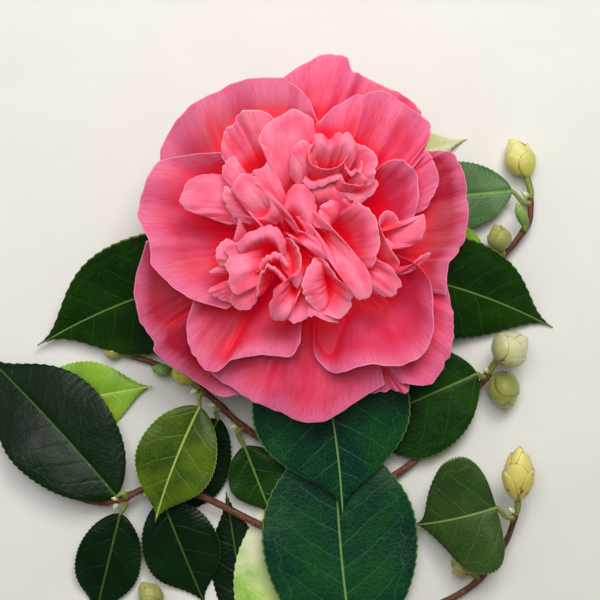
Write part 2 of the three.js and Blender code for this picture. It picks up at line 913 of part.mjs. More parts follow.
// A petal: at each u a parabola runs from the root, pulled by the throat, to the rim.
function petalSurface({ throat, rim, full = 0.55, cup = 0, lip = 0, ruffle = 0, waves = 3 }) {
  const edge = new THREE.CatmullRomCurve3(rim.map(vector), false, "centripetal");
  const bed = vector(RECEPTACLE.centre);
  const pull = vector(throat);
  const foot = bed.clone().add(new THREE.Vector3(pull.x, pull.y, 0).setLength(ROOT_RING));
  const middle = edge.getPoint(0.5);
  const span = edge.getPoint(1).sub(edge.getPoint(0));
  const sideways = span.clone().setZ(0).normalize();
  const face = span.clone().cross(middle.clone().sub(foot)).normalize();
  if (face.z < 0) face.negate();
  return (u, w) => {
    const v = PETAL_START + (1 - PETAL_START) * w;
    const free = edge.getPoint(u);
    const root = foot.clone().addScaledVector(sideways, (u - 0.5) * ROOT_WIDTH);
    const control = pull.clone().addScaledVector(free.clone().sub(middle), full);
    const place = root.multiplyScalar((1 - v) ** 2);
    place.addScaledVector(control, 2 * v * (1 - v));
    place.addScaledVector(free, v * v);
    place.addScaledVector(face, -cup * 4 * u * (1 - u) * Math.sin(Math.PI * v));
    place.addScaledVector(face, ruffle * Math.sin(2 * Math.PI * waves * u) * v * v);
    place.z -= lip * v * (1 - smoothstep(v, LIP_START, 1));
    return place;
  };
}

function petal(spec, { thickness, share, along }) {
  const across = Math.ceil(share * (spec.rim.length - 1));
  return solid(sheet(petalSurface(spec), thickness, across, along));
}

function bloom() {
  const domes = [RECEPTACLE, CORE].map(({ centre, radius, height }) => {
    const dome = new THREE.SphereGeometry(1, SIDES.dome, STEPS.dome);
    dome.rotateX(Math.PI / 2);
    dome.scale(radius, radius, height);
    dome.translate(...centre);
    return solid(dome);
  });
  const guards = Object.values(GUARDS).map((spec) => petal(spec, GUARD));
  const petaloids = Object.values(PETALOIDS).map((spec) => petal(spec, PETALOID));
  return join([...domes, ...guards, ...petaloids]);
}

function calyx() {
  const profile = CALYX_PROFILE.map(([radius, height]) => new THREE.Vector2(radius, height));
  const cup = new THREE.LatheGeometry(profile, SIDES.calyx);
  cup.rotateX(Math.PI / 2);
  return solid(cup);
}

const material = Object.fromEntries(
  Object.entries(COLOURS).map(([name, look]) => [name, new THREE.MeshStandardMaterial(look)]),
);

const group = new THREE.Group();
group.position.set(...BLOOM_AT);

function add(name, manifold, look) {
  const mesh = new THREE.Mesh(geometryOf(manifold), look);
  mesh.name = name;
  group.add(mesh);
}

const limbs = {
  stem_main: limb(STEM_PATH, STEM_CUT_RADIUS, STEM_TOP_RADIUS, SIDES.stem, STEPS.stem),
};
for (const [name, { on, path }] of Object.entries(TWIGS)) {
  const { spot } = seat(limbs[on], vector(path[0]), vector(path[0]));
  const points = [spot.toArray(), ...path];
  limbs[name] = limb(points, TWIG_RADIUS, TWIG_TIP_RADIUS, SIDES.twig, 2 * path.length);
}
for (const [name, { geometry }] of Object.entries(limbs)) {
  add(name, solid(geometry), material.bark);
}
for (const [name, spec] of Object.entries(LEAVES)) {
  add(name, leaf(limbs[spec.on], spec), spec.pale ? material.leafPale : material.leaf);
}
for (const [name, spec] of Object.entries(BUDS)) {
  add(name, bud(limbs[spec.on], spec), material.bud);
}
add("calyx", calyx(), material.bud);
add("bloom", bloom(), material.petal);

export default group;
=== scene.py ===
# %% [markdown]
# This scene dresses a cut camellia sprig that lies face up on a table.
# On the real sprig a woody stem carries twigs, leathery leaves, buds and one bloom of
# about fifty petals. The imported model gives each of them as a plain solid.
# Here every solid is replaced by a finer piece, made by the same rule and in the same place.
# All lengths in the tables are millimetres from the bloom's axis at table height.

# %% The imported model
import math

import bpy
import numpy as np
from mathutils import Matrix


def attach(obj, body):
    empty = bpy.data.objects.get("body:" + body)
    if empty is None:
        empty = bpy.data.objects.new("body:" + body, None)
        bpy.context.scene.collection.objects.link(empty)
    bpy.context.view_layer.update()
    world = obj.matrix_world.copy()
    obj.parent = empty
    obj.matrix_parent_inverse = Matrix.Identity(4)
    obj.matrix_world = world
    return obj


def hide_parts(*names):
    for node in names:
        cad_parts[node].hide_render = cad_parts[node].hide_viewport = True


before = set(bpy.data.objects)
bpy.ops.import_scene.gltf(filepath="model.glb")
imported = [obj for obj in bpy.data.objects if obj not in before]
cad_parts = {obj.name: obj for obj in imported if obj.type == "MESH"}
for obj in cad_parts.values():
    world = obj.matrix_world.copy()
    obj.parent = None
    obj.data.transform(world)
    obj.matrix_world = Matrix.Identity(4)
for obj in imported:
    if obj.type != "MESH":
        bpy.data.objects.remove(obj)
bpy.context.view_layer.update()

print("nodes in the packed model:", len(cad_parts))

# %% Where the bloom's axis stands
MM = 0.001
BLOOM_AT = np.array([12.0, 74.8, 0.0])
UP = (0.0, 0.0, 1.0)


def metres(points):
    """Places measured from the bloom's axis, as places in the scene."""
    return (np.asarray(points, float) + BLOOM_AT) * MM


print("the bloom's axis stands at", metres([0, 0, 0]).tolist())

# %% [markdown]
# The photograph looks straight down into the bloom from about half a metre.
# A narrow lens at that distance gives the same foreshortening: petals near the camera
# look a little larger than leaves on the table.

# %% The camera
CAMERA_AT = metres([-0.66, -20.46, 495.0])
SENSOR_WIDTH = 36.0
LENS_LENGTH = 81.82

scene = bpy.context.scene
camera_data = bpy.data.cameras.new("camera")
camera_data.sensor_width = SENSOR_WIDTH
camera_data.lens = LENS_LENGTH
camera_data.clip_start = 0.01
camera = bpy.data.objects.new("camera", camera_data)
camera.location = CAMERA_AT
scene.collection.objects.link(camera)
scene.camera = camera
print("the camera stands at", CAMERA_AT.tolist(), "and looks straight down")

# %% [markdown]
# Soft light comes from the upper edge of the picture. The key lamp hangs high on the
# right and a larger one nearly overhead, and together they make the soft shadows
# between the petals. A weak one lower on the left gives the leaves their sheen, and the
# pale world fills the rest.

# %% The light
LAMPS = {
    "key": {"at": [130.0, 340.0, 600.0], "size": 260.0, "watts": 2.5, "tint": (1.0, 0.97, 0.93)},
    "sheen": {"at": [-420.0, 160.0, 430.0], "size": 420.0, "watts": 0.4, "tint": (1.0, 0.97, 0.96)},
    "upper": {"at": [-60.0, 170.0, 740.0], "size": 320.0, "watts": 2.3, "tint": (1.0, 0.98, 0.96)},
}
WORLD_TINT = (1.0, 0.965, 0.94, 1.0)
WORLD_STRENGTH = 0.2
LIT_SPOT = metres([0.0, -20.0, 30.0])


def hang_lamp(name, lamp):
    """A square lamp that faces the sprig."""
    data = bpy.data.lights.new(name + "_lamp", "AREA")
    data.size = lamp["size"] * MM
    data.energy = lamp["watts"]
    data.color = lamp["tint"]
    hung = bpy.data.objects.new(data.name, data)
    place = metres(lamp["at"])
    towards = LIT_SPOT - place
    distance = np.linalg.norm(towards)
    hung.location = place
    hung.rotation_euler = (
        math.acos(-towards[2] / distance),
        0.0,
        math.atan2(towards[1], towards[0]) - math.pi / 2,
    )
    scene.collection.objects.link(hung)
    return distance


for name, lamp in LAMPS.items():
    print("the", name, "lamp hangs", round(hang_lamp(name, lamp), 2), "m away")

world = bpy.data.worlds.new("pale_room")
world.use_nodes = True
world.node_tree.nodes["Background"].inputs["Color"].default_value = WORLD_TINT
world.node_tree.nodes["Background"].inputs["Strength"].default_value = WORLD_STRENGTH
scene.world = world
scene.view_settings.view_transform = "Standard"

# %% [markdown]
# A material or a shape in Blender can be a long chain of nodes. Written out one by one
# they are hard to read, so a small class wraps a node's output, and Python's operators
# add the nodes: 1 - mask becomes a Math node, and vector * 2 a Vector Math node.

# %% Expressions that become nodes
class Strand:
    """One output in a node tree, used as a number or a vector in an expression."""

    def __init__(self, tree, socket):
        self.tree = tree
        self.socket = socket

    def __add__(self, other):
        return self.tree.reckon("ADD", self, other)

    def __radd__(self, other):
        return self.tree.reckon("ADD", other, self)

    def __sub__(self, other):
        return self.tree.reckon("SUBTRACT", self, other)

    def __rsub__(self, other):
        return self.tree.reckon("SUBTRACT", other, self)

    def __mul__(self, other):
        return self.tree.reckon("MULTIPLY", self, other)

    def __rmul__(self, other):
        return self.tree.reckon("MULTIPLY", other, self)

    def __truediv__(self, other):
        return self.tree.reckon("DIVIDE", self, other)

    def __pow__(self, other):
        return self.tree.reckon("POWER", self, other)

    def __neg__(self):
        return self.tree.reckon("MULTIPLY", self, -1.0)

    def __abs__(self):
        return self.tree.reckon("ABSOLUTE", self)


def is_vector(term):
    """True for a vector socket or a plain triple."""
    if isinstance(term, Strand):
        return term.socket.type == "VECTOR"
    return isinstance(term, (tuple, list))


class Tree:
    """A node tree, with one method that adds any node and a few that add common ones."""

    def __init__(self, tree):
        self.tree = tree

    def fill(self, socket, value):
        """Links a strand, or several, to a socket, or sets the socket's own value."""
        strands = value if isinstance(value, list) else [value]
        for strand in strands:
            if isinstance(strand, Strand):
                self.tree.links.new(strand.socket, socket)
            else:
                socket.default_value = strand

    def node(self, kind, settings=None, values=None, output=0):
        """Adds a node, makes its settings, fills its sockets and gives one output."""
        made = self.tree.nodes.new(kind)
        for name, setting in (settings or {}).items():
            setattr(made, name, setting)
        for key, value in (values or {}).items():
            if isinstance(key, str):
                named = [s for s in made.inputs if s.name == key and s.enabled]
                self.fill(named[0], value)
            else:
                self.fill(made.inputs[key], value)
        return Strand(self, made.outputs[output])

    def reckon(self, operation, *terms):
        """A Math node, or a Vector Math node where a term is a vector."""
        vectors = [is_vector(term) for term in terms]
        if not any(vectors):
            return self.node("ShaderNodeMath", {"operation": operation}, dict(enumerate(terms)))
        if operation == "MULTIPLY" and not all(vectors):
            number, vector = sorted(terms, key=is_vector)
            return self.node("ShaderNodeVectorMath", {"operation": "SCALE"}, {0: vector, 3: number})
        return self.node("ShaderNodeVectorMath", {"operation": operation}, dict(enumerate(terms)))

    def square_to(self, one, other):
        """The direction that is square to two vectors."""
        return self.reckon("NORMALIZE", self.reckon("CROSS_PRODUCT", one, other))

    def length(self, vector):
        """A vector's length."""
        return self.node("ShaderNodeVectorMath", {"operation": "LENGTH"}, {0: vector}, output=1)

    def parts(self, vector):
        """The three numbers of a vector."""
        first = self.node("ShaderNodeSeparateXYZ", values={0: vector})
        return [Strand(self, output) for output in first.socket.node.outputs]

    def triple(self, x, y, z):
        """A vector from three numbers."""
        return self.node("ShaderNodeCombineXYZ", values={0: x, 1: y, 2: z})

    def stretch(self, parts, pitches):
        """A vector from three numbers, each times its own pitch."""
        return self.triple(*(part * pitch for part, pitch in zip(parts, pitches)))

    def rise(self, value, low, high):
        """Goes smoothly from 0 at low to 1 at high."""
        settings = {"interpolation_type": "SMOOTHSTEP"}
        return self.node("ShaderNodeMapRange", settings, {0: value, 1: low, 2: high})

    def fall(self, value, low, high):
        """Goes smoothly from 1 at low to 0 at high."""
        return 1 - self.rise(value, low, high)

    def noise(self, vector, scale=1.0, detail=2.0, roughness=0.5):
        """Smooth noise about 0.5."""
        values = {"Vector": vector, "Scale": scale, "Detail": detail, "Roughness": roughness}
        return self.node("ShaderNodeTexNoise", values=values)

    def spots(self, vector, scale=1.0, feature="F1"):
        """How far a place is from the nearest scattered point, or from the border between two."""
        return self.node("ShaderNodeTexVoronoi", {"feature": feature}, {"Vector": vector, "Scale": scale})

    def blend(self, share, one, other):
        """A colour between two colours."""
        return self.node("ShaderNodeMix", {"data_type": "RGBA"}, {0: share, 6: one, 7: other}, output=2)

    def coats(self, body, *coats):
        """A colour with others laid over it in turn, each by its own share."""
        for share, tint in coats:
            body = self.blend(share, body, tint)
        return body

    def place(self):
        """Where a point of the piece lies, in metres, read by a material."""
        return self.node("ShaderNodeTexCoord", output=3)

    def attribute(self, name):
        """A vector that the mesh carries, read by a material."""
        return self.node("ShaderNodeAttribute", {"attribute_name": name}, output=1)

    def store(self, shape, name, value, kind="FLOAT_VECTOR", domain="POINT"):
        """The shape with a named value kept on each point, face or instance."""
        settings = {"data_type": kind, "domain": domain}
        values = {"Geometry": shape, "Name": name, "Value": value}
        return self.node("GeometryNodeStoreNamedAttribute", settings, values)

    def stored(self, name, kind="FLOAT"):
        """A kept value, read by the same or another tree."""
        return self.node("GeometryNodeInputNamedAttribute", {"data_type": kind}, {"Name": name})


print("expressions are ready")

# %% [markdown]
# Most shapes on the sprig follow a rule along a path, so they are grown by Geometry
# Nodes: a tree with named inputs that is run once for each piece. What the tree makes
# is kept as a plain mesh and the modifier goes, so that every other program sees it too.

# %% Growing a piece with a Geometry Nodes tree
def new_growth(title, kinds, numbers):
    """A Geometry Nodes tree with named inputs, and a strand for each of them."""
    group = bpy.data.node_groups.new(title, "GeometryNodeTree")
    inputs = {"Geometry": "Geometry", **kinds, **dict.fromkeys(numbers, "Float")}
    for name, kind in inputs.items():
        group.interface.new_socket(name, in_out="INPUT", socket_type="NodeSocket" + kind)
    group.interface.new_socket("Geometry", in_out="OUTPUT", socket_type="NodeSocketGeometry")
    tree = Tree(group)
    entry = group.nodes.new("NodeGroupInput")
    return tree, {name: Strand(tree, entry.outputs[name]) for name in inputs}


def end_growth(tree, shape, material, other=None, where=None):
    """Ends a tree: instances become real and smooth, and get a material, or two by place."""
    real = tree.node("GeometryNodeRealizeInstances", values={"Geometry": shape})
    smooth = tree.node("GeometryNodeSetShadeSmooth", values={"Geometry": real})
    finished = tree.node("GeometryNodeSetMaterial", values={0: smooth, 2: material})
    if other:
        finished = tree.node("GeometryNodeSetMaterial", values={0: finished, 1: where, 2: other})
    leaving = tree.tree.nodes.new("NodeGroupOutput")
    tree.fill(leaving.inputs[0], finished)


def bare_lines(lines, girths=None):
    """A mesh of bare lines, given in millimetres, for a tree to grow on."""
    mesh = bpy.data.meshes.new("path")
    starts = np.cumsum([0] + [len(line) for line in lines])
    edges = [(step, step + 1) for one, end in zip(starts, starts[1:]) for step in range(one, end - 1)]
    mesh.from_pydata(metres(np.concatenate(lines)).tolist(), edges, [])
    if girths is not None:
        mesh.attributes.new("girth", "FLOAT", "POINT").data.foreach_set("value", girths * MM)
    return mesh


def grow(name, tree, settings, mesh=None):
    """Runs a tree on a mesh and keeps the result as a plain mesh."""
    piece = bpy.data.objects.new(name, mesh or bpy.data.meshes.new("empty"))
    scene.collection.objects.link(piece)
    modifier = piece.modifiers.new("growth", "NODES")
    modifier.node_group = tree.tree
    for item in tree.tree.interface.items_tree:
        if item.in_out == "INPUT" and item.name in settings:
            modifier[item.identifier] = settings[item.name]
    bpy.context.view_layer.update()
    depsgraph = bpy.context.evaluated_depsgraph_get()
    grown = bpy.data.meshes.new_from_object(
        piece.evaluated_get(depsgraph), preserve_all_data_layers=True, depsgraph=depsgraph
    )
    piece.modifiers.clear()
    piece.data = grown
    grown.name = name
    return piece


def settle(piece, node):
    """Says what a finished piece rides on and what it replaces."""
    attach(piece, "root")
    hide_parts(node)
    return piece


def solid(name, points, faces, material, node):
    """A smooth piece from points in millimetres and faces."""
    mesh = bpy.data.meshes.new(name)
    mesh.from_pydata(metres(points).tolist(), [], faces)
    mesh.polygons.foreach_set("use_smooth", [True] * len(faces))
    return show(mesh, material, node)


def show(mesh, material, node):
    """A finished mesh as a piece of its own."""
    mesh.materials.append(material)
    piece = bpy.data.objects.new(mesh.name, mesh)
    scene.collection.objects.link(piece)
    return settle(piece, node)


def numbers(place):
    """A place in millimetres as a tree's input takes it."""
    return [float(value) for value in metres(place)]


def colour(red, green, blue):
    """A colour given in the usual 0 to 255, as the linear numbers a shader takes."""
    shares = [channel / 255 for channel in (red, green, blue)]
    linear = [((s + 0.055) / 1.055) ** 2.4 if s > 0.04 else s / 12.92 for s in shares]
    return (*linear, 1.0)


print("growing is ready")

# %% [markdown]
# Every finish starts from the same general shader, with what is alike all over set
# on the shader itself. Only what changes from place to place comes through nodes.

# %% A finish to start from
def new_finish(name, settings):
    """A material with its general shader's own sockets set, ready for its pattern."""
    material = bpy.data.materials.new(name)
    material.use_nodes = True
    tree = Tree(material.node_tree)
    shader = material.node_tree.nodes["Principled BSDF"]
    for socket, value in settings.items():
        shader.inputs[socket].default_value = value
    return material, tree, shader


def paint(tree, shader, body, height=None, depth=0.1):
    """Gives a shader its colour and, by a bump so many millimetres deep, its small relief."""
    tree.fill(shader.inputs["Base Color"], body)
    if height:
        values = {"Height": height, "Distance": depth * MM, "Strength": 1.0}
        tree.fill(shader.inputs["Normal"], tree.node("ShaderNodeBump", values=values))


print("finishes can be made")

# %% [markdown]
# The table is only a stage: a large pale sheet, faintly mottled, which takes the soft
# shadows and is left out of the part.

# %% The plain pale floor
FLOOR_SIDE = 3000.0
FLOOR_MOTTLE = 40.0
FLOOR_TINTS = ((228, 228, 223), (236, 236, 232))


def make_floor():
    """A pale table top, faintly mottled, that isn't part of the object."""
    material, tree, shader = new_finish("pale_table", {"Roughness": 0.7})
    mottle = tree.noise(tree.place(), FLOOR_MOTTLE, detail=4.0)
    paint(tree, shader, tree.blend(mottle, *(colour(*tint) for tint in FLOOR_TINTS)))
    half = FLOOR_SIDE * MM / 2
    mesh = bpy.data.meshes.new("floor")
    corners = [(-half, -half, 0.0), (half, -half, 0.0), (half, half, 0.0), (-half, half, 0.0)]
    mesh.from_pydata(corners, [], [(0, 1, 2, 3)])
    mesh.materials.append(material)
    floor = bpy.data.objects.new("floor", mesh)
    scene.collection.objects.link(floor)
    return floor


print("made", make_floor().name)

# %% [markdown]
# The bloom is what the sprig is cut for. Each petal is a thin blade that grows from the
# middle, arches over its neighbours and ends in a waved rim. One rule draws them all:
# at each place across, a parabola runs from the foot, pulled by the throat, to the rim.
# The rims differ from petal to petal, so they are a table, and numpy turns each row of
# it into a fine sheet, quicker and with more control over its waves than a tree would.

# %% The petals' rims
def petal(throat, rim, **shape):
    """What draws one petal: its throat, places along its rim, and what sets it apart."""
    return {"throat": throat, "rim": rim, **shape}


# A petal's share of the darker tint is painted shade, for a petal that lies in shade.
GUARDS = {
    "outer_left": petal((-23, -16, 34), [
        (-17.5, -51.5, 32), (-28, -53, 31), (-39, -46.5, 30), (-49.5, -39, 31), (-51.5, -33, 33),
        (-55.5, -26.5, 31), (-57, -15.5, 31), (-52.5, -0.5, 36),
    ], ruffle=0.8, waves=3, dusk=1.0, film=7, creases=[(0.57, 0.57, 0.03, 1.2)]),
    "outer_foot": petal((1, -26, 33), [
        (-32, -43, 37), (-29.5, -46, 37), (-24.5, -49.5, 36.5), (-19.5, -52.8, 35.5), (-14, -55.8, 35),
        (-7, -58.8, 34), (0.5, -62, 33), (10, -60.5, 33), (19, -54.5, 34), (28, -49, 35),
    ], cup=-2, ruffle=0.8, waves=3, dusk=0.25, creases=[(0.45, 0.45, 0.03, 0.8), (0.66, 0.66, 0.03, 0.8)]),
    "outer_foot_right": petal((13, -22, 33), [
        (13.5, -50.5, 31.5), (23.5, -52, 31.5), (32, -51.5, 31.5), (35.5, -52, 32.5), (37, -47.5, 33),
    ], full=0.4, dusk=0.35),
    "outer_low_right": petal((22, -16, 32.5), [
        (33.5, -48.5, 35), (43.5, -49, 33), (49.5, -41, 32), (51.5, -31.5, 32), (51, -24, 33),
        (49, -15.5, 35),
    ], ruffle=0.8, dusk=0.1),
    "outer_right": petal((25, 4, 34), [
        (48.5, -19, 36), (49.5, -8.5, 37), (54.5, -1.5, 36), (56, 12.5, 35), (54, 23.5, 36),
        (50, 29, 38), (41.5, 29.5, 39),
    ], cup=2, ruffle=0.4, dusk=0.95, film=6),
    "outer_top": petal((5, 26, 34), [
        (-10, 51.5, 36), (-0.5, 58.5, 36), (9, 62.5, 36), (14.5, 62, 36), (17, 56.5, 39),
        (21.5, 54.5, 36), (31, 50, 36), (37, 46.8, 35.5), (40.5, 42.5, 35.5),
    ], ruffle=0.6, dusk=0.0, film=14, creases=[(0.6, 0.6, 0.03, 1.0)]),
    "upper_left": petal((-16, 17, 40), [
        (-48, 23, 38), (-46, 34, 38), (-36, 45.5, 38), (-21, 53, 38), (-6.5, 53.5, 39), (1, 48, 41.5),
        (5.5, 38, 45),
    ], ruffle=0.8, waves=4, dusk=0.9, film=16, creases=[(0.37, 0.37, 0.03, 1.0)]),
    "upper_right": petal((17, 16, 42), [
        (4.5, 37.5, 48), (11, 43, 47), (19, 47.5, 46), (25.5, 49, 44), (34.5, 44.5, 42), (43, 37.5, 40),
        (42, 32.5, 42), (40.5, 28, 43),
    ], cup=-2, ruffle=0.8, waves=4, dusk=0.2, film=12,
        creases=[(0.3, 0.3, 0.03, 0.8), (0.6, 0.6, 0.03, 0.8)]),
    "right_inner": petal((20, 8, 40), [
        (38, 32, 36), (41.5, 29.5, 40), (43.2, 27, 42), (45.1, 22, 43), (44.6, 16.3, 43.5),
        (42.3, 12, 44), (39.5, 9, 45),
    ], cup=2, ruffle=0.6, nick=0.3, dusk=0.2, film=10),
    "left_big": petal((-22, 2, 37), [
        (-26, 28, 49), (-37, 27.5, 45), (-47.5, 25.5, 42), (-53.5, 16, 40), (-54.5, 7.5, 40),
        (-51, -1, 42), (-49.5, -9, 43), (-43.5, -15.5, 44), (-35.5, -20.5, 45), (-25, -23.5, 46),
    ], cup=1.5, ruffle=0.7, waves=4, dusk=0.35, film=12),
    "low_left_inner": petal((-15, -18, 37), [
        (-36, -20, 41), (-38.5, -29, 40), (-37.5, -36.5, 40), (-34.5, -42, 41), (-29, -44.5, 43),
        (-23, -40.5, 45), (-13.5, -38.5, 45), (-3.5, -39, 44.5), (-0.5, -34.5, 45),
    ], lip=3, dusk=0.5, creases=[(0.5, 0.56, 0.08, 2.3)]),
    "low_right_inner": petal((19, -18, 33), [
        (4, -33, 39), (4.5, -38.5, 38.5), (7.2, -43, 39), (10.8, -45.1, 41), (14.5, -43.8, 44),
        (21, -42.3, 46), (28, -42.3, 46), (34, -41.6, 45), (38.6, -39.8, 44), (42.5, -34, 44),
        (43.4, -25.8, 46), (42.4, -17.2, 48), (39.5, -10.8, 51), (36, -8.2, 53),
    ], lip=4, cup=2, dusk=0.4, creases=[(0.6, 0.13, 0.08, 2.4)]),
    "right_cup": petal((18, 5, 40), [
        (22.5, 20, 52), (25.4, 22.8, 54), (28.9, 24.9, 54), (33.1, 24.8, 54), (36, 22.4, 53),
        (37.7, 16.9, 52), (37.7, 11.2, 51), (35.5, 5.5, 50), (30, 3, 49),
    ], cup=3, nick=0.5, dusk=0.45, film=7),
}

